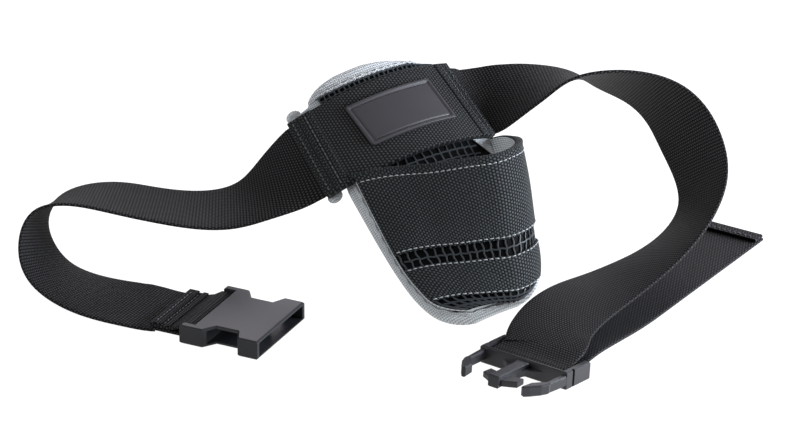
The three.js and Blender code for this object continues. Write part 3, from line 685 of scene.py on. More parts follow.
@dataclass
class BellyPad:
    """Padded plate against the belly: spacer mesh cushion, its pale lip, and the dark net sewn on it."""

    space: PadSpace
    height: float = 180.5
    half_width: float = 53.0
    top: float = 39.5
    thick: float = 6.0
    edging: float = 9.0
    rim_round: float = 3.2
    rim_least: float = 0.15
    groove: float = 0.5
    groove_spread: float = 1.1
    crown: float = 1.3
    crown_reach: float = 22.0
    net_foot: float = 0.055
    net_top: float = 0.949
    net_left: float = 0.9
    net_right: float = 1.0
    net_cloth: float = 0.6
    net_pitch: float = 5.4
    upper_pitch: float = 3.2
    net_strand: float = 1.1
    strand_rise: float = 0.95
    strand_high: float = 0.55
    cross_high: float = 0.6
    # Where the dark cloth widens behind the mouth as painted shade: its middle rise and its spread
    mouth_rise: float = -42.0
    mouth_spread: float = 24.0
    # Outline from foot to top: shares of the height, then shares of half_width at left and right
    outline: Array = field(default_factory=lambda: np.array([
        (0.0, 0.4, 0.15), (0.012, 0.52, 0.3), (0.04, 0.66, 0.47), (0.08, 0.77, 0.62), (0.14, 0.85, 0.74),
        (0.22, 0.9, 0.84), (0.35, 0.93, 0.93), (0.55, 0.94, 1.0), (0.6, 0.94, 1.0), (0.64, 0.94, 1.01),
        (0.648, 1.02, 1.02), (0.66, 1.09, 1.05), (0.76, 1.11, 1.06), (0.925, 1.11, 1.03), (0.933, 1.12, 0.85),
        (0.94, 0.9, 0.7), (0.96, 0.84, 0.55), (0.98, 0.74, 0.3), (0.992, 0.62, 0.1), (1.0, 0.46, -0.1),
    ]))
    # Corners that peep out at the sleeve's left end: along, rise, half width, half height
    ears: tuple[tuple[float, ...], ...] = ((-57.4, -28.9, 4.8, 3.9), (-56.2, 28.4, 4.8, 3.9))

    def edges(self, share: Array) -> tuple[Array, Array]:
        """Returns the pad's left and right arc lengths at shares of its height."""
        return -column_at(self.outline, 1, share) * self.half_width, column_at(self.outline, 2, share) * self.half_width

    def net_edges(self, share: Array) -> tuple[Array, Array]:
        """Returns the net's left and right arc lengths: inside the edging, and straight beside the ears."""
        left, right = self.edges(share)
        left = np.maximum(left, -self.net_left * self.half_width)
        right = np.minimum(right, self.net_right * self.half_width)
        return left + self.edging, right - self.edging

    def rise(self, share: Array) -> Array:
        """Returns how high up the pad a share of its height is."""
        return self.top - self.height * (1 - np.asarray(share))

    def share(self, rise: Array) -> Array:
        """Returns the share of the pad's height at which it is so high."""
        return 1 - (self.top - rise) / self.height

    def cushion(self) -> Surface:
        """Returns the cushion: half thickness is a quarter circle in from the rim, and the back is crowned."""
        share = np.unique(np.concatenate([np.linspace(0, 1, 120), cosine_steps(60), np.linspace(0.62, 0.67, 12)]))
        across = cosine_steps(56)
        left, right = self.edges(share)
        rise = self.rise(share)[:, None]
        along = left[:, None] + (right - left)[:, None] * across[None]
        lean_left = np.hypot(1, np.gradient(left, self.rise(share)))[:, None]
        lean_right = np.hypot(1, np.gradient(right, self.rise(share)))[:, None]
        ends = np.minimum(share, 1 - share)[:, None] * self.height
        side = np.minimum((along - left[:, None]) / lean_left, (right[:, None] - along) / lean_right)
        inset = np.minimum(side, ends)
        edge = np.clip(inset / self.rim_round, 0, 1)
        half = self.rim_least + (self.thick / 2 - self.rim_least) * np.sqrt(1 - (1 - edge) ** 2)
        groove = self.groove * np.exp(-((inset - self.edging) / self.groove_spread) ** 2)
        crown = self.crown * np.clip((inset - self.edging) / self.crown_reach, 0, 1) ** 0.6
        front = self.space.world(along, rise, half - 0.1 * groove)
        back = self.space.world(along, rise, -half + groove - crown)
        return closed_sheet(front, back, cloth_uv(along, rise))

    def net_sheet(self) -> Surface:
        """Returns the dark cloth under the net's strands; behind the mouth it widens to the pad's right rim, a dark
        sheet standing in for the shade there (painted shade).
        """
        share = np.linspace(self.net_foot, self.net_top, 110)
        left, right = self.net_edges(share)
        # The widening behind the mouth paints the shade by the pouch's inner seam: painted shade
        shade_fill_behind_mouth = np.exp(-((self.rise(share) - self.mouth_rise) / self.mouth_spread) ** 8)
        right = right + (self.edging + 0.1) * shade_fill_behind_mouth
        along = left[:, None] + (right - left)[:, None] * np.linspace(0, 1, 30)[None]
        rise = self.rise(share)[:, None]
        front, back = (self.space.world(along, rise, self.space.net_back + up) for up in (self.net_cloth, 0))
        return closed_sheet(front, back, cloth_uv(along, rise))

    def net_strands(self) -> Surface:
        """Returns the raised strands where the net shows: under the sleeve, and in a strip above it."""
        parts = []
        half = self.net_strand / 2
        depth = self.space.net_back + self.strand_rise
        # Lowest and highest rise, pitch, and how far the strip stops short at its right
        windows = ((-80.0, -27.5, self.net_pitch, 7.0), (21.5, self.rise(self.net_top) - 0.2, self.upper_pitch, 3.5))
        for low, high, pitch, short in windows:
            ups = np.linspace(low, high, 24)
            left, right = self.net_edges(self.share(ups))
            places = np.arange(left.min() + half, right.max() - short, pitch)
            sway = 0.25 * np.sin(ups[None] * 1.3 + places[:, None])
            along = np.clip(places[:, None] + sway, left[None], (right - short)[None])
            path = self.space.world(along, ups[None], depth)
            parts.append(strand_bundle(path, self.space.outward(along), half, self.strand_high))
            levels = np.arange(high - 0.6, low, -pitch)
            left, right = self.net_edges(self.share(levels))
            along = left[:, None] + (right - short - left)[:, None] * np.linspace(0, 1, 60)[None]
            path = self.space.world(along, levels[:, None] + 0.2 * np.sin(along * 1.1), depth)
            parts.append(strand_bundle(path, self.space.outward(along), half, self.cross_high))
        return joined(parts)

    def lip(self) -> Surface:
        """Returns the pale folded lip above the net's upper strip, with small waves."""
        left, right = self.net_edges(np.full(1, self.net_top))
        along = np.linspace(left[0] - 4, right[0], 160)
        rise = self.rise(self.net_top) + 0.7 + 0.35 * np.sin(along * 1.3)
        path = self.space.world(along, rise, self.space.net_back + 0.5)
        thick = 0.95 + 0.2 * np.sin(along * 2.1)
        return strand_bundle(path[None], self.space.outward(along)[None], thick, thick)

    def ear_tips(self) -> Surface:
        """Returns the two small rounded corners of the pad that peep out at the sleeve's left end."""
        parts = []
        middle, bulge = 1.2, 2.6  # depth of an ear's middle layer, and half its thickness
        for along, rise, wide, tall in self.ears:
            turn = np.linspace(0, 2 * math.pi, 33)[:-1][None]
            lift = np.sin(np.linspace(-1.5, 1.5, 15))[:, None]
            ring = np.sqrt(1 - lift**2)
            points = self.space.world(
                along + wide * ring * np.cos(turn), rise + tall * ring * np.sin(turn), middle + bulge * lift
            )
            parts.append(closed_loft(points, cloth_uv(wide * np.cos(turn), tall * np.sin(turn) + lift * 3)))
        return joined(parts)

    def dress(self, shop: Workshop, looks: Finishes) -> None:
        """Makes the pad's pieces."""
        cushion = shop.piece("belly_cushion", self.cushion(), looks.spacer, ("back_pad",))
        shop.piece("pad_net_cloth", self.net_sheet(), looks.backing, ("front_net",))
        shop.piece("pad_net_strands", self.net_strands(), looks.strand)
        shop.piece("upper_lip", self.lip(), looks.spacer)
        shop.piece("pad_ear_tips", self.ear_tips(), looks.spacer)


@dataclass
class Sleeve:
    """Webbing channel across the pad, ribbed hems at its ends, and the blank rubber label on it."""

    space: PadSpace
    width: float = 53.8
    wall: float = 1.6
    hem: float = 15.0
    label_length: float = 53.0
    label_height: float = 29.5
    label_rise: float = 2.0
    label_thick: float = 1.4
    label_border: float = 1.9
    label_corner: float = 1.6
    border_raise: float = 0.6
    right_hem_less: float = 5.0
    # Ribs of each hem: distance from the sleeve's end, half width, half height
    left_ribs: tuple[tuple[float, ...], ...] = ((0.9, 1.1, 0.7), (4.6, 0.8, 0.5), (7.2, 0.8, 0.5), (13.6, 0.9, 0.4))
    right_ribs: tuple[tuple[float, ...], ...] = ((0.9, 1.1, 0.6), (4.2, 0.8, 0.4), (8.8, 0.8, 0.4))
    # Rows of stitches: distances from each end
    left_threads: tuple[float, ...] = (2.7, 10.4)
    right_threads: tuple[float, ...] = (2.6, 6.4)
    # Length, space and thickness of a stitch
    thread: tuple[float, ...] = (2.4, 0.9, 0.75)

    def channel(self) -> Surface:
        """Returns the channel: a bracket-shaped section carried along the belly curve, thicker at the hems."""
        half, foot, inner = self.width / 2, self.space.net_face + 0.3, self.space.sleeve_inner
        outer, soft = self.space.sleeve_outer, 1.4
        turn = np.linspace(0, math.pi / 2, 6)
        left_corner = np.stack([-half + soft - soft * np.cos(turn), outer - soft + soft * np.sin(turn)], -1)
        right_corner = left_corner[::-1] * (-1, 1)
        flat = np.stack([np.linspace(-half + soft, half - soft, 40)[1:-1], np.full(38, outer)], -1)
        inside = np.array([
            (half, foot), (half - self.wall, foot), (half - self.wall, inner), (-half + self.wall, inner),
            (-half + self.wall, foot), (-half, foot),
        ])
        section = np.concatenate([left_corner, flat, right_corner, inside])
        left_hem = self.space.sleeve_left + self.hem
        right_hem = self.space.sleeve_right - self.hem + self.right_hem_less
        along = np.unique(np.concatenate([
            np.linspace(self.space.sleeve_left, self.space.sleeve_right, 90),
            left_hem + np.linspace(-0.5, 1.5, 7), right_hem + np.linspace(-1.5, 0.5, 7),
        ]))
        from_end = np.minimum(along - left_hem, right_hem - along)
        raised = self.space.hem_thick * np.clip(0.5 - from_end, 0, 1)
        is_outer = (section[:, 1] > inner + 0.1)[None]
        depth = section[None, :, 1] + np.where(is_outer, raised[:, None], 0)
        rise = self.space.sleeve_middle + section[None, :, 0]
        rings = self.space.world(self.space.skewed(along[:, None], rise), rise, depth)
        return closed_loft(rings, cloth_uv(along[:, None], section[None, :, 0]))

    def line_down(self, along: float, margin: float, count: int, above: float) -> tuple[Array, Array]:
        """Returns points and outward directions of a line down one of the hems.

        Args:
            along: where the line crosses the sleeve's middle, before its slant.
            margin: how far it stays from the sleeve's upper and lower edges.
            count: number of points.
            above: its height over the hem's face.

        Returns:
            (count, 3) points over the table, and as many directions.
        """
        rise = self.space.sleeve_middle + np.linspace(-self.width / 2 + margin, self.width / 2 - margin, count)
        depth = self.space.sleeve_outer + self.space.hem_thick + above
        return self.space.world(self.space.skewed(along, rise), rise, depth), self.space.outward(np.full(count, along))

    def hem_ridges(self) -> Surface:
        """Returns the rounded ribs of both hems, standing on their outer faces."""
        places = [(self.space.sleeve_left + at, *halves) for at, *halves in self.left_ribs]
        places += [(self.space.sleeve_right - at, *halves) for at, *halves in self.right_ribs]
        parts = []
        for along, half_width, half_height in places:
            path, out = self.line_down(along, 0.8, 40, -0.2)
            parts.append(strand_bundle(path[None], out[None], half_width, half_height))
        return joined(parts)

    def hem_stitches(self) -> Surface:
        """Returns the rows of dark thread beside the hem ribs."""
        places = [self.space.sleeve_left + at for at in self.left_threads]
        places += [self.space.sleeve_right - at for at in self.right_threads]
        return joined([stitch_row(*self.line_down(along, 2, 60, 0.1), *self.thread) for along in places])

    def label(self) -> Surface:
        """Returns the label: a thin plate with round corners, a raised border and a fine groove inside it."""
        u, v = cosine_steps(70) - 0.5, cosine_steps(48) - 0.5
        x, y = np.meshgrid(u * self.label_length, v * self.label_height)
        inset = np.minimum(self.label_length / 2 - np.abs(x), self.label_height / 2 - np.abs(y))
        straight_x, straight_y = self.label_length / 2 - self.label_corner, self.label_height / 2 - self.label_corner
        dx, dy = np.maximum(np.abs(x) - straight_x, 0), np.maximum(np.abs(y) - straight_y, 0)
        pull = np.where((dx > 0) & (dy > 0), np.maximum(dx, dy) / np.maximum(np.hypot(dx, dy), 1e-9), 1)
        x = np.sign(x) * (np.minimum(np.abs(x), straight_x) + dx * pull)
        y = np.sign(y) * (np.minimum(np.abs(y), straight_y) + dy * pull)
        border = self.border_raise * np.clip((self.label_border - inset) / 0.5, 0, 1)
        groove = 0.6 * np.exp(-((inset - self.label_border - 0.6) / 0.4) ** 2)
        roll = 0.5 * (1 - np.sqrt(1 - (1 - np.clip(inset / 0.6, 0, 1)) ** 2))
        base = self.space.sleeve_outer + 0.3
        rise = self.space.sleeve_middle + self.label_rise + y
        slant = self.space.skewed(x, rise)
        front = self.space.world(slant, rise, base + self.label_thick + border - groove - roll)
        return closed_sheet(front, self.space.world(slant, rise, base), cloth_uv(x, y))

    def dress(self, shop: Workshop, looks: Finishes) -> None:
        """Makes the sleeve's pieces."""
        shop.piece("sleeve_channel", self.channel(), looks.sleeve, ("belt_sleeve",))
        shop.piece("sleeve_hem_ribs", self.hem_ridges(), looks.sleeve)
        shop.piece("sleeve_hem_stitches", self.hem_stitches(), looks.dark_thread)
        shop.piece("blank_label", self.label(), looks.rubber, ("label_patch",))


@dataclass
class Pouch:
    """Open pouch for the rod butt: pale lining, dark net over it, two sewn bands and a bound mouth."""

    space: PadSpace
    bulge: float = 28.0
    drop: float = 29.0
    height: float = 107.0
    half_width: float = 50.0
    top: float = -31.0
    base: float = 5.95
    lining: float = 0.75
    net_back: float = 1.05
    band_back: float = 2.75
    band_thick: float = 1.5
    strand: float = 1.1
    strand_rise: float = 1.25
    strand_high: float = 0.55
    cross_high: float = 0.6
    cloth: float = 0.8
    lip_gap: float = 0.9
    upper_foot: float = 0.475
    lower_top: float = 0.585
    lower_foot: float = 0.83
    seam_levels: tuple[float, ...] = (0.045, 0.464, 0.596, 0.82)
    # Length, space and thickness of a stitch
    thread: tuple[float, ...] = (2.4, 1.1, 0.6)
    # Windows of the net: first and last level, levels of the cross strands, number of the others
    windows: tuple[tuple, ...] = ((0.47, 0.59, (0.53,), 23), (0.82, 0.985, (0.875, 0.93), 17))
    # Rows from mouth to foot: level, seams at left and right, their falls, share of bulge, share of drop
    rows: Array = field(default_factory=lambda: np.array([
        (0.0, -0.86, 0.98, -0.045, 0.0, 1.0, 1.0), (0.25, -0.885, 0.87, 0.245, 0.27, 0.76, 0.86),
        (0.475, -0.895, 0.73, 0.49, 0.54, 0.48, 0.66), (0.585, -0.885, 0.66, 0.59, 0.65, 0.38, 0.6),
        (0.7, -0.85, 0.59, 0.705, 0.76, 0.28, 0.54), (0.83, -0.775, 0.48, 0.83, 0.87, 0.16, 0.44),
        (0.93, -0.62, 0.37, 0.915, 0.935, 0.08, 0.26), (1.0, -0.44, 0.24, 0.97, 0.975, 0.02, 0.1),
    ]))
    # Course of the mouth from left seam to right: share along, share out, share down
    mouth: Array = field(default_factory=lambda: np.array([
        (0.0, 0.0, 0.0, 0.0), (0.1, 0.13, 0.07, 0.13), (0.22, 0.29, 0.19, 0.36), (0.34, 0.425, 0.41, 0.61),
        (0.5, 0.59, 0.76, 0.87), (0.6, 0.69, 0.96, 1.0), (0.7, 0.8, 1.0, 0.9), (0.79, 0.885, 0.87, 0.68),
        (0.88, 0.955, 0.62, 0.4), (0.95, 0.985, 0.34, 0.17), (1.0, 1.0, 0.0, 0.0),
    ]))

    def wall(self, level: Array, across: Array) -> Array:
        """Returns the pouch's middle wall in the pad's frame: seams joined along the mouth's course."""
        level, across = np.broadcast_arrays(np.asarray(level, float), np.asarray(across, float))
        share = column_at(self.mouth, 1, across)
        left, right, fall_left, fall_right, bulge, drop = (column_at(self.rows, k, level) for k in range(1, 7))
        along = (left + (right - left) * share) * self.half_width
        fall = (fall_left + (fall_right - fall_left) * share) * self.height
        out = np.maximum(column_at(self.mouth, 2, across), 0) * bulge * self.bulge
        down = column_at(self.mouth, 3, across) * drop * self.drop
        return self.space.local(along, self.top - fall - down, self.base + out)

    def normal(self, level: Array, across: Array) -> Array:
        """Returns the wall's outward normal, from its slopes down and across."""
        level, across = np.broadcast_arrays(np.asarray(level, float), np.asarray(across, float))
        low, high = np.maximum(level - 0.01, 0), np.minimum(level + 0.01, 1)
        near, far = np.maximum(across - 0.01, 0.001), np.minimum(across + 0.01, 0.999)
        down = self.wall(high, across) - self.wall(low, across)
        over = self.wall(level, far) - self.wall(level, near)
        return unit(np.cross(down, over))

    def at(self, level: Array, across: Array, offset: Array | float = 0.0) -> Array:
        """Returns points over the table, moved out from the wall along its normal."""
        return self.space.out(self.wall(level, across) + self.normal(level, across) * np.asarray(offset)[..., None])

    def out_of(self, level: Array, across: Array) -> Array:
        """Returns the wall's normal over the table."""
        return self.normal(level, across) @ self.space.turn.T

    def layer(self, levels: Array, acrosses: Array, inner: float, thick: float, soft: float = 0.4) -> Surface:
        """Returns one layer of the pouch as a closed sheet with softened edges.

        Args:
            levels: levels of its rows.
            acrosses: shares of its columns.
            inner: offset of its inner face from the wall.
            thick: its thickness.
            soft: how much its outer face drops at its edges.

        Returns:
            The closed surface, with cloth coordinates in metres along and down it.
        """
        grid_level, grid_across = np.meshgrid(levels, acrosses, indexing="ij")
        middle = self.at(grid_level, grid_across)
        wide, tall = reached(middle, 1).mean(0), reached(middle).mean(1)
        rim = np.minimum(np.minimum(wide, wide[-1] - wide)[None], np.minimum(tall, tall[-1] - tall)[:, None])
        drop = soft * (1 - np.clip(rim / 0.9, 0, 1)) ** 2
        front = self.at(grid_level, grid_across, inner + thick - drop)
        return closed_sheet(front, self.at(grid_level, grid_across, inner), cloth_uv(wide[None], tall[:, None]))

    def net(self) -> Surface:
        """Returns the net's strands in the two windows, between the bands and under the lower one."""
        parts = []
        offset, half = self.net_back + self.strand_rise, self.strand / 2
        for low, high, rows, count in self.windows:
            across = np.linspace(0.03, 0.97, count)[:, None]
            level = np.linspace(low, high, 9)[None]
            sway = across + 0.003 * np.sin(level * 90 + across * 40)
            path, out = self.at(level, sway, offset), self.out_of(level, sway)
            parts.append(strand_bundle(path, out, half, self.strand_high))
            line = np.linspace(0.04, 0.96, 150)[None]
            level = np.asarray(rows)[:, None] + 0.003 * np.sin(line * 110)
            path, out = self.at(level, line, offset), self.out_of(level, line)
            parts.append(strand_bundle(path, out, half, self.cross_high))
        return joined(parts)

    def binding(self) -> Surface:
        """Returns the dark fold that binds the mouth: a rounded section carried along the mouth."""
        across = np.linspace(0.004, 0.996, 160)
        middle, side = self.at(0, across, 2.1), self.out_of(0, across)
        along = unit(np.gradient(middle, axis=0))
        up = unit(np.cross(side, along))
        turn = np.linspace(0, 2 * math.pi, 21)[:-1]
        # A squarish section, 5.1 mm across the mouth's layers and 2.6 mm high
        wide, high = (np.sign(x) * np.abs(x) ** 0.7 * half for x, half in ((np.cos(turn), 2.55), (np.sin(turn), 1.3)))
        rings = middle[:, None] + side[:, None] * wide[None, :, None] + up[:, None] * high[None, :, None]
        return closed_loft(rings, cloth_uv(reached(middle)[:, None], turn[None] * 2.2))

    def lining_turn(self) -> Surface:
        """Returns the lining's pale turn onto the pad at the right of the mouth, cut slanting at its left."""
        rise = np.linspace(-24.5, -47, 24)[:, None]
        # Each edge moves towards the other below a corner: the left one by 12 mm, the right one by 4 mm
        left = 36.5 + 12 * np.clip((-30 - rise) / 15, 0, 1)
        right = 53.0 - 4 * np.clip((-29 - rise) / 4, 0, 1)
        along = left + (right - left) * np.linspace(0, 1, 20)[None]
        depth = self.space.net_face + 0.1
        thick = 0.5
        front, back = (self.space.world(along, rise, depth + up) for up in (thick, 0))
        return closed_sheet(front, back, cloth_uv(along, rise))

    def lip(self) -> Surface:
        """Returns the pale folded lip round the pouch's seams and foot, with small waves, on the pad's face."""
        sides = [(np.linspace(0.04, 1, 150), np.zeros(150)), (np.ones(60), np.linspace(0, 1, 62)[1:-1]),
                 (np.linspace(1, 0.84, 30), np.ones(30))]
        level, across = (np.concatenate([side[k] for side in sides]) for k in range(2))
        flat = self.wall(level, across)
        along, rise = np.arctan2(flat[:, 0], flat[:, 2] + self.space.bend) * self.space.bend, flat[:, 1]
        slope = unit(np.stack([np.gradient(along), np.gradient(rise)], -1))
        away = self.lip_gap + 0.35 * np.sin(np.arange(len(along)) * 0.55)
        along, rise = along + slope[:, 1] * away, rise - slope[:, 0] * away
        path = self.space.world(along, rise, self.space.net_back)
        thick = 1.1 + 0.15 * np.sin(np.arange(len(along)) * 0.9)
        return strand_bundle(path[None], self.space.outward(along)[None], thick, thick * 0.6)

    def seams(self) -> Surface:
        """Returns the pale stitches: under the rim, at the upper band's foot, and at both lower band edges."""
        across = np.linspace(0.02, 0.98, 240)
        face = self.band_back + self.band_thick
        return joined([
            stitch_row(self.at(level, across, face), self.out_of(level, across), *self.thread)
            for level in self.seam_levels
        ])

    def dress(self, shop: Workshop, looks: Finishes) -> None:
        """Makes the pouch's pieces."""
        acrosses = np.linspace(0.004, 0.996, 120)
        inner = acrosses[(acrosses > 0.011) & (acrosses < 0.989)]
        shop.piece(
            "pouch_inner_wall", self.layer(np.linspace(0, 1, 70), acrosses, -self.lining, 2 * self.lining),
            looks.spacer, ("pouch_lining",),
        )
        shop.piece(
            "pouch_net_cloth", self.layer(np.linspace(0.02, 0.99, 70), inner, self.net_back, self.cloth),
            looks.backing, ("pouch_net",),
        )
        # The pouch's net strands take the darker copy: painted shade
        shop.piece("pouch_net_strands", self.net(), looks.shaded_strand)
        shop.piece("lining_turn", self.lining_turn(), looks.spacer)
        shop.piece("edging_lip", self.lip(), looks.spacer)
        for name, levels, node in (
            ("band_upper", np.linspace(0, self.upper_foot, 70), "pouch_band_upper"),
            ("band_lower", np.linspace(self.lower_top, self.lower_foot, 44), "pouch_band_lower"),
        ):
            band = self.layer(levels, inner, self.band_back, self.band_thick)
            shop.piece(name, band, looks.band, (node,))
        shop.piece("mouth_binding", self.binding(), looks.band)
        shop.piece("pouch_stitches", self.seams(), looks.thread)


# Belt webbing


@dataclass(frozen=True)
class HalfFrame:
    """Frame of a buckle half or of the free end on the table: ahead points out of its open end."""

    x: float
    y: float
    heading: float
    tilt: float = 0.0
    rear: float = 0.0

    def at(self, forward: Array, left: Array, up: Array) -> Array:
        """Returns points over the table: a tilt that lifts the nose, then a turn to the heading."""
        forward, left, up = np.broadcast_arrays(*(np.asarray(v, float) for v in (forward, left, up)))
        t = math.radians(self.tilt)
        ahead = forward * math.cos(t) - up * math.sin(t)
        high = forward * math.sin(t) + up * math.cos(t) + self.rear * math.sin(t)
        flat = np.stack([ahead, left, high], -1) @ turn_about("z", self.heading).T
        return flat + np.array([self.x, self.y, 0.0])

    def left(self) -> Array:
        """Returns the direction across the half, to its left."""
        return turn_about("z", self.heading) @ np.array([0.0, 1.0, 0.0])


@dataclass
class Ribs:
    """Cross lines of a webbing: their middle points and their directions."""

    middle: Array
    across: Array

    def then(self, other: "Ribs") -> "Ribs":
        """Returns these ribs followed by others."""
        return Ribs(np.concatenate([self.middle, other.middle]), np.concatenate([self.across, other.across]))

    @staticmethod
    def straight(middle: Array, across: Array) -> "Ribs":
        """Returns ribs that all have one direction."""
        return Ribs(np.asarray(middle, float), np.broadcast_to(across, np.shape(middle)).copy())

    def smoothed(self, step: float) -> "Ribs":
        """Returns ribs every step or so on a centripetal spline through the middles.

        Args:
            step: rough distance between two ribs.

        Returns:
            The denser ribs, the last one included.
        """
        points, ways = (
            np.concatenate([[2 * rows[0] - rows[1]], rows, [2 * rows[-1] - rows[-2]]])
            for rows in (self.middle, self.across)
        )
        middles, acrosses = [], []
        for k in range(len(self.middle) - 1):
            p0, p1, p2, p3 = points[k:k + 4]
            d0, d1, d2 = (math.sqrt(np.linalg.norm(b - a)) for a, b in ((p0, p1), (p1, p2), (p2, p3)))
            slope_1 = ((p1 - p0) / d0 - (p2 - p0) / (d0 + d1) + (p2 - p1) / d1) * d1
            slope_2 = ((p2 - p1) / d1 - (p3 - p1) / (d1 + d2) + (p3 - p2) / d2) * d1
            parts = max(1, round(float(np.linalg.norm(p2 - p1)) / step))
            t = (np.arange(parts) / parts)[:, None]
            middles.append(self.cubic(p1, p2, slope_1, slope_2, t))
            w0, w1, w2, w3 = ways[k:k + 4]
            acrosses.append(unit(self.cubic(w1, w2, (w2 - w0) / 2, (w3 - w1) / 2, t)))
        return Ribs(np.concatenate([*middles, self.middle[-1:]]), np.concatenate([*acrosses, self.across[-1:]]))

    def softened(self, spread: float) -> "Ribs":
        """Returns the ribs averaged with their neighbours along the webbing, the ends kept in place.

        Args:
            spread: standard distance of the average, in millimetres.

        Returns:
            As many ribs, without sudden turns.
        """
        at = reached(self.middle)
        room = np.minimum(np.minimum(at, at[-1] - at) / 2.5, spread) + 1e-3
        weight = np.exp(-0.5 * ((at[None] - at[:, None]) / room[:, None]) ** 2) * np.gradient(at)[None]
        weight /= weight.sum(1, keepdims=True)
        return Ribs(weight @ self.middle, unit(weight @ self.across))

    @staticmethod
    def cubic(a: Array, b: Array, slope_a: Array, slope_b: Array, t: Array) -> Array:
        """Returns the cubic between a and b that has those slopes at its ends."""
        return (a + slope_a * t + (3 * (b - a) - 2 * slope_a - slope_b) * t**2
                + (2 * (a - b) + slope_a + slope_b) * t**3)


@dataclass
class Belt:
    """The 50 mm belt: both runs from the sleeve, the fold at the female half, and the free end with its hem."""

    space: PadSpace
    width: float = 50.0
    thick: float = 2.0
    gap: float = 0.3
    bar_height: float = 6.0
    loop: float = 3.3
    socket_bar: float = -21.95
    plug_bar: float = -3.0
    fold: float = 26.0
    left_reach: float = 164.0
    right_reach: float = 141.0
    tail: float = 236.0
    tail_lift: float = 12.0
    hem: float = 9.0
    step: float = 3.0
    soften: float = 9.0
    split: float = -4.5
    most_slide: float = 0.7
    # Length, space and thickness of a stitch
    thread: tuple[float, ...] = (2.6, 1.0, 0.7)
    # Ridges on the fold at the female half: start and end past the fold's cut, and thickness
    fold_rows: tuple[tuple[float, ...], ...] = ((0.2, 6.5, 1.1), (9.5, 12.5, 0.8))
    socket: HalfFrame = HalfFrame(-88.4, -163.8, -26.3)
    plug: HalfFrame = HalfFrame(76.3, -224.0, -126.5, 5.5, 20.5)
    lying: HalfFrame = HalfFrame(76.3, -224.0, -123.0)
    # Routes from the sleeve's mouths: out, back and up as shares of the reach, then the rib's two angles
    left_route: Array = field(default_factory=lambda: np.array([
        (-0.067, -0.005, -0.05, 110, 32), (-0.14, -0.01, -0.1, 99, 20), (-0.215, -0.02, -0.15, 93, 8),
        (-0.3, -0.02, -0.175, 92, 4), (-0.4, -0.025, -0.175, 89, 1), (-0.54, -0.025, -0.155, 86, -2),
        (-0.68, -0.025, -0.125, 85, -3), (-0.81, -0.02, -0.115, 85, -10), (-0.91, -0.025, -0.13, 87, -17),
        (-0.97, -0.04, -0.17, 82, -24), (-0.987, -0.08, -0.235, 73, -24), (-0.97, -0.125, -0.305, 64, -21),
        (-0.92, -0.185, -0.355, 56, -13), (-0.83, -0.26, -0.378, 53, -5), (-0.735, -0.328, -0.381, 55, 1),
        (-0.645, -0.378, -0.38, 59, 3),
    ], float))
    right_route: Array = field(default_factory=lambda: np.array([
        (0.017, 0.02, -0.01, 120, 32), (0.06, 0.04, -0.01, 117, 28), (0.11, 0.037, 0.0, 112, 21),
        (0.175, 0.025, 0.037, 106, 13), (0.26, 0.022, 0.07, 100, 4), (0.35, 0.02, 0.093, 94, -7),
        (0.43, 0.01, 0.115, 91, -21), (0.5, -0.002, 0.112, 97, -30), (0.6, -0.005, 0.1, 106, -37),
        (0.72, -0.008, 0.068, 115, -40), (0.82, -0.03, 0.01, 127, -42), (0.91, -0.105, -0.087, 141, -38),
        (0.98, -0.22, -0.22, 134, -34), (0.985, -0.3, -0.29, 127, -34), (0.925, -0.42, -0.37, 125, -30),
        (0.82, -0.55, -0.43, 127, -23), (0.69, -0.68, -0.47, 129, -14), (0.59, -0.77, -0.49, 131, -8),
        (0.468, -0.907, -0.49, 135, 0), (0.374, -1.05, -0.49, 140, 3), (0.31, -1.187, -0.497, 143, 2),
    ], float))
    # The free end's height, as shares of tail_lift, at shares of its length
    tail_rows: Array = field(default_factory=lambda: np.array([
        (0.105, 0.4), (0.14, 0.45), (0.185, 0.45), (0.235, 0.38), (0.29, 0.28), (0.36, 0.16), (0.43, 0.09),
    ]))

    def inside_sleeve(self, start: float, end: float) -> Ribs:
        """Returns the ribs between two arc lengths inside the sleeve."""
        along = np.linspace(start, end, 20)
        middle = self.space.world(along, self.space.sleeve_middle, self.space.strap_depth)
        return Ribs.straight(middle, self.space.turn @ np.array([0.0, 1.0, 0.0]))

    def route(self, mouth: Array, rows: Array, reach: float) -> Ribs:
        """Returns a run's ribs from its route table."""
        azimuth, elevation = np.radians(rows[:, 3]), np.radians(rows[:, 4])
        across = np.stack([
            np.cos(elevation) * np.cos(azimuth), np.cos(elevation) * np.sin(azimuth), np.sin(elevation)
        ], -1)
        return Ribs(mouth + rows[:, :3] * reach, across)

    def round_bar(self, half: HalfFrame, bar: float, start: float, end: float, across: Array) -> Ribs:
        """Returns the turn of webbing round a bar, between two angles seen along the bar."""
        angle = np.radians(np.linspace(start, end, 15))
        middle = half.at(bar + self.loop * np.cos(angle), 0, self.bar_height + self.loop * np.sin(angle))
        return Ribs.straight(middle, across)

    def hung(self, inside: Ribs, rows: Array, reach: float, entry: Array, across: Array) -> Ribs:
        """Returns a run from inside the sleeve to its buckle half, smooth between the two.

        Args:
            inside: its ribs inside the sleeve.
            rows: its route table.
            reach: what the route's shares stand for.
            entry: (k, 3) middle points of its last straight piece, of which the first ends the smooth part.
            across: direction of the ribs on that piece.

        Returns:
            All its ribs.
        """
        run = Ribs(inside.middle[-1:], inside.across[-1:]).then(self.route(inside.middle[-1], rows, reach))
        run = run.then(Ribs.straight(entry[:1], across)).smoothed(self.step).softened(self.soften)
        return Ribs(inside.middle[:-1], inside.across[:-1]).then(run).then(Ribs.straight(entry[1:], across))

    def left_run(self) -> Ribs:
        """Returns the left run, with the fold over the female half's end bar."""
        inside = self.inside_sleeve(self.split - self.gap, self.space.strap_entry)
        across = self.socket.left()
        low = self.bar_height - self.loop
        layer = self.thick + self.gap
        entry = self.socket.at(self.socket_bar + np.array([-self.fold - 4, -self.fold, -16, -6]), 0, low)
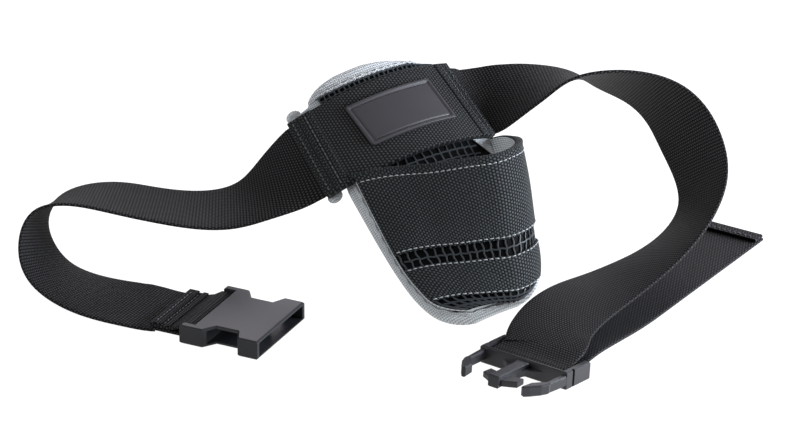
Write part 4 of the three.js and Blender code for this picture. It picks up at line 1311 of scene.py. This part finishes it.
        # Folded back: forward of the bar, and up from the lower layer
        back = np.array([(-4, 2 * self.loop), (-9, 1.25 * layer + 0.6), (-13, layer), (-self.fold, layer)])
        folded = self.socket.at(self.socket_bar + back[:, 0], 0, low + back[:, 1])
        turn = self.round_bar(self.socket, self.socket_bar, -90, 90, across)
        ribs = self.hung(inside, self.left_route, self.left_reach, entry, across)
        return ribs.then(turn).then(Ribs.straight(folded, across))

    def right_run(self) -> Ribs:
        """Returns the right run, up to the male half's bar."""
        inside = self.inside_sleeve(self.split + self.gap, self.space.strap_exit)
        across = -self.plug.left()
        high = self.bar_height + self.loop
        entry = self.plug.at(self.plug_bar + np.array([-16.0, -10, -5]), 0, high + np.array([3.4, 1.4, 0]))
        ribs = self.hung(inside, self.right_route, self.right_reach, entry, across)
        return ribs.then(self.round_bar(self.plug, self.plug_bar, 90, 2, across))

    def free_end(self) -> Ribs:
        """Returns the free end, from under the male half's bar to its hem."""
        across, lying = -self.plug.left(), -self.lying.left()
        turn = self.round_bar(self.plug, self.plug_bar, -8, -90, across)
        between = Ribs.straight(self.plug.at(np.array([-12.0, -19]), 0, np.array([3.2, 4.4])), across)
        near = self.lying.at(-self.tail_rows[:, 0] * self.tail, 0, self.tail_rows[:, 1] * self.tail_lift)
        flat = self.lying.at(-np.linspace(0.5, 1, 6) * self.tail, 0, self.thick / 2)
        loose = between.then(Ribs.straight(np.concatenate([near, flat]), lying)).smoothed(self.step)
        return turn.then(loose)

    def webbing(self, ribs: Ribs, width: float | None = None, thick: float | None = None) -> Surface:
        """Returns flat webbing through its ribs: a thin section with round selvedges on each rib.

        Args:
            ribs: cross lines along its length.
            width: its width, or None for the belt's.
            thick: its thickness, or None for the belt's.

        Returns:
            The closed surface. Cloth coordinates are the place across it and the length along it.
        """
        half, rim = (width or self.width) / 2, (thick or self.thick) / 2
        along = unit(np.gradient(ribs.middle, axis=0))
        across = unit(ribs.across - along * np.einsum("ij,ij->i", along, ribs.across)[:, None])
        normal = unit(np.cross(along, across))
        selvedge = -half + rim * (1 - np.cos(np.linspace(0, math.pi / 2, 5)))[:-1]
        place = np.concatenate([selvedge, np.linspace(-half + rim, half - rim, 19), -selvedge[::-1]])
        edge = np.clip((np.abs(place) - (half - rim)) / rim, 0, 1)
        face = rim * np.sqrt(1 - edge**2)
        ring_place = np.concatenate([place, place[-2:0:-1]])
        ring_face = np.concatenate([face, -face[-2:0:-1]])
        rings = (ribs.middle[:, None] + across[:, None] * ring_place[None, :, None]
                 + normal[:, None] * ring_face[None, :, None])
        # The weave follows the ribs as given, so that it doesn't fan out where they turn
        slide = np.einsum("ij,ij->i", ribs.across, along) / np.einsum("ij,ij->i", ribs.across, across)
        slide = np.clip(slide, -self.most_slide, self.most_slide)
        woven = reached(ribs.middle)[:, None] - ring_place[None] * slide[:, None]
        return closed_loft(rings, cloth_uv(ring_place[None], woven))

    def hem_box(self) -> tuple[Array, Array]:
        """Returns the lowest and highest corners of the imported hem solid, in maker's millimetres."""
        forward = -np.array([self.tail - self.hem, self.tail])
        corners = self.lying.at(forward[:, None, None], np.array([-1, 1])[None, :, None] * self.width / 2,
                                (1.5 * self.thick + self.gap + np.array([-1, 1]) * self.thick / 2)[None, None])
        flat = corners.reshape(-1, 3)
        return flat.min(0), flat.max(0)

    def tail_hem(self) -> Surface:
        """Returns the folded hem on the free end."""
        forward = np.linspace(self.tail - self.hem, self.tail - 0.3, 9)
        middle = self.lying.at(-forward, 0, 1.5 * self.thick + self.gap)
        return self.webbing(Ribs.straight(middle, -self.lying.left()), self.width - 0.6, self.thick)

    def fold_top(self) -> float:
        """Returns the height of the upper face of the webbing folded back at the female half."""
        return self.bar_height - self.loop + 1.5 * self.thick + self.gap

    def fold_hem(self) -> Surface:
        """Returns two low ridges across the fold behind the female half: its turned-in end and its bar tack."""
        parts = []
        for start, end, thick in self.fold_rows:
            forward = np.linspace(-self.fold + start, -self.fold + end, 8)
            middle = self.socket.at(self.socket_bar + forward, 0, self.fold_top() + thick / 2)
            parts.append(self.webbing(Ribs.straight(middle, self.socket.left()), self.width - 0.8, thick))
        return joined(parts)

    def hem_threads(self) -> Surface:
        """Returns the dark stitches across the fold and across the free end's hem."""
        rows = []
        place = np.linspace(-self.width / 2 + 2, self.width / 2 - 2, 50)
        up, fold_top = np.broadcast_to((0.0, 0.0, 1.0), (50, 3)), self.fold_top()
        for half, forward, high in (
            (self.socket, self.socket_bar - self.fold + 3.2, fold_top + 1.15),
            (self.socket, self.socket_bar - self.fold + 8.0, fold_top + 0.1),
            (self.lying, -self.tail + self.hem - 2.2, 2 * self.thick + self.gap + 0.05),
        ):
            rows.append(stitch_row(half.at(forward, place, high), up, *self.thread))
        return joined(rows)

    def dress(self, shop: Workshop, looks: Finishes) -> None:
        """Makes the belt's pieces."""
        for name, surface, nodes in (
            ("webbing_left", self.webbing(self.left_run()), ("belt_left",)),
            ("webbing_right", self.webbing(self.right_run()), ("belt_right",)),
            ("webbing_free_end", self.webbing(self.free_end()), ("belt_tail",)),
            ("free_end_hem", self.tail_hem(), ("tail_hem",)),
            ("fold_ridges", self.fold_hem(), ()),
        ):
            shop.piece(name, surface, looks.webbing, nodes)
        shop.piece("hem_stitches", self.hem_threads(), looks.dark_thread)


@dataclass
class Buckle:
    """Both halves of the side-release buckle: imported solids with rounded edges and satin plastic."""

    round_edge: float = 0.55
    weld: float = 0.02
    least_angle: float = 35.0

    def dress(self, nodes: dict[str, Object], looks: Finishes) -> None:
        """Gives both packed halves their finish and softens their edges."""
        for name in ("female_buckle", "male_buckle"):
            half = nodes[name]
            half.data.materials.clear()
            half.data.materials.append(looks.plastic)
            weld = half.modifiers.new("weld", "WELD")
            weld.merge_threshold = self.weld * MM
            bevel = half.modifiers.new("soft_edges", "BEVEL")
            bevel.width = self.round_edge * MM
            bevel.segments = 2
            bevel.limit_method = "ANGLE"
            bevel.angle_limit = math.radians(self.least_angle)
            bevel.harden_normals = True
            LOG.info("%s: packed solid kept, edges rounded %.2f mm", name, self.round_edge)


# Studio


@dataclass
class Studio:
    """White table, soft white light all round, and the camera at the photograph's view.

    Distances are millimetres for the camera and metres for the table and the lights.
    """

    shop: Workshop
    distance: float = 3000.0
    elevation: float = 25.0
    scale: float = 1.62
    frame_width: int = 786
    sensor: float = 36.0
    half_table: float = 8.0
    table_drop: float = 0.0006
    bounce: float = 0.3
    more_bounce: float = 0.7
    bounce_from: float = 0.0
    bounce_to: float = 0.14
    ambient: float = 0.14

    def camera(self) -> None:
        """Places the camera: it looks at the middle of the photograph's frame from its elevation."""
        data = bpy.data.cameras.new("photo_view")
        data.sensor_width = self.sensor
        data.lens = self.sensor * self.scale * self.distance / self.frame_width
        data.clip_start, data.clip_end = 0.05, 50
        angle = math.radians(self.elevation)
        eye = np.array([0.0, -math.cos(angle), math.sin(angle)]) * self.distance
        made = placed("photo_view", data)
        made.location = self.shop.points(eye)
        made.rotation_euler = (math.radians(90) - angle, 0, 0)
        bpy.context.scene.camera = made

    def table(self) -> None:
        """Lays the table: a wide sheet, white where it is seen, that lights the belt from below.

        Its glow on the belt is bounce, and rises by more_bounce between two places along x.
        """
        mesh = bpy.data.meshes.new("pale_table")
        s = self.half_table
        mesh.from_pydata([(-s, -s, 0), (s, -s, 0), (s, s, 0), (-s, s, 0)], [], [(0, 1, 2, 3)])
        mesh.transform(Matrix.Translation((0, 0, -self.table_drop)))
        material, tree = new_material("white_table")
        seen = add_node(tree, "ShaderNodeLightPath").outputs["Is Camera Ray"]
        position = add_node(tree, "ShaderNodeNewGeometry").outputs["Position"]
        place = add_node(tree, "ShaderNodeSeparateXYZ", {0: position})
        right = add_node(tree, "ShaderNodeMapRange", {
            "Value": place.outputs[0], "From Min": self.bounce_from, "From Max": self.bounce_to,
            "To Min": self.bounce, "To Max": self.bounce + self.more_bounce,
        })
        hidden = maths(tree, "MULTIPLY", right.outputs[0], maths(tree, "SUBTRACT", 1.0, seen))
        shade(
            tree, Base_Color=linear("808080"), Roughness=0.9, Emission_Color=(1, 1, 1, 1),
            Emission_Strength=maths(tree, "ADD", seen, hidden),
        )
        mesh.materials.append(material)
        placed("pale_table", mesh)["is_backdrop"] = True

    def light(self, name: str, place: tuple[float, float, float], size: float, watts: float, tint: str) -> None:
        """Adds one soft square light that faces the middle of the belt.

        Args:
            name: its name.
            place: where it hangs, in metres.
            size: length of its side, in metres.
            watts: its power.
            tint: its colour.
        """
        data = bpy.data.lights.new(name, "AREA")
        data.size, data.energy = size, watts
        data.color = linear(tint)[:3]
        made = placed(name, data)
        made.location = place
        made.rotation_euler = Vector(place).to_track_quat("Z", "Y").to_euler()

    def build(self) -> None:
        """Builds camera, table, surrounding light and lamps."""
        self.camera()
        self.table()
        world = bpy.data.worlds.new("white_room")
        world.use_nodes = True
        tree = world.node_tree
        seen = add_node(tree, "ShaderNodeLightPath").outputs["Is Camera Ray"]
        room = tree.nodes["Background"]
        room.inputs["Color"].default_value = (1, 1, 1, 1)
        tree.links.new(maths(tree, "MULTIPLY_ADD", seen, 1.0 - self.ambient, self.ambient), room.inputs["Strength"])
        bpy.context.scene.world = world
        bpy.context.scene.view_settings.view_transform = "Standard"
        self.light("back_softbox", (0.1, 2.6, 1.25), 2.2, 25, "fbf6ff")
        self.light("top_softbox", (-0.4, 0.5, 2.0), 1.2, 7, "fffafc")
        self.light("right_softbox", (0.95, -0.1, 0.28), 0.45, 17, "ecf4ff")
        self.light("left_softbox", (-1.5, -0.7, 0.7), 0.8, 9, "f2f8ff")


def measured_shift(belt: Belt) -> Array:
    """Returns what takes the maker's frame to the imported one, from the hem's packed box.

    Args:
        belt: the belt, which knows where its hem lies in the maker's frame.

    Returns:
        The shift in millimetres.
    """
    low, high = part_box("tail_hem")
    own_low, own_high = belt.hem_box()
    shift = (np.array(low) + np.array(high)) / 2 / MM - (own_low + own_high) / 2
    LOG.info("shift %s mm", np.round(shift, 4))
    return shift


def corners() -> list[list[float]]:
    """Returns the lowest and highest corner of what shows, as plain lists."""
    return [[float(v) for v in corner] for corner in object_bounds()]


def main() -> None:
    """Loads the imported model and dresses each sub-assembly in order."""
    logging.basicConfig(level=logging.INFO, format="%(name)s: %(message)s", stream=sys.stdout)
    for old in list(bpy.data.objects):
        bpy.data.objects.remove(old)
    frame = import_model()
    space = PadSpace()
    belt = Belt(space)
    shop = Workshop(measured_shift(belt))
    Studio(shop).build()
    looks = Finishes()
    BellyPad(space).dress(shop, looks)
    Sleeve(space).dress(shop, looks)
    Pouch(space).dress(shop, looks)
    belt.dress(shop, looks)
    Buckle().dress(frame["nodes"], looks)
    bpy.context.view_layer.update()


if __name__ == "__main__":
    main()
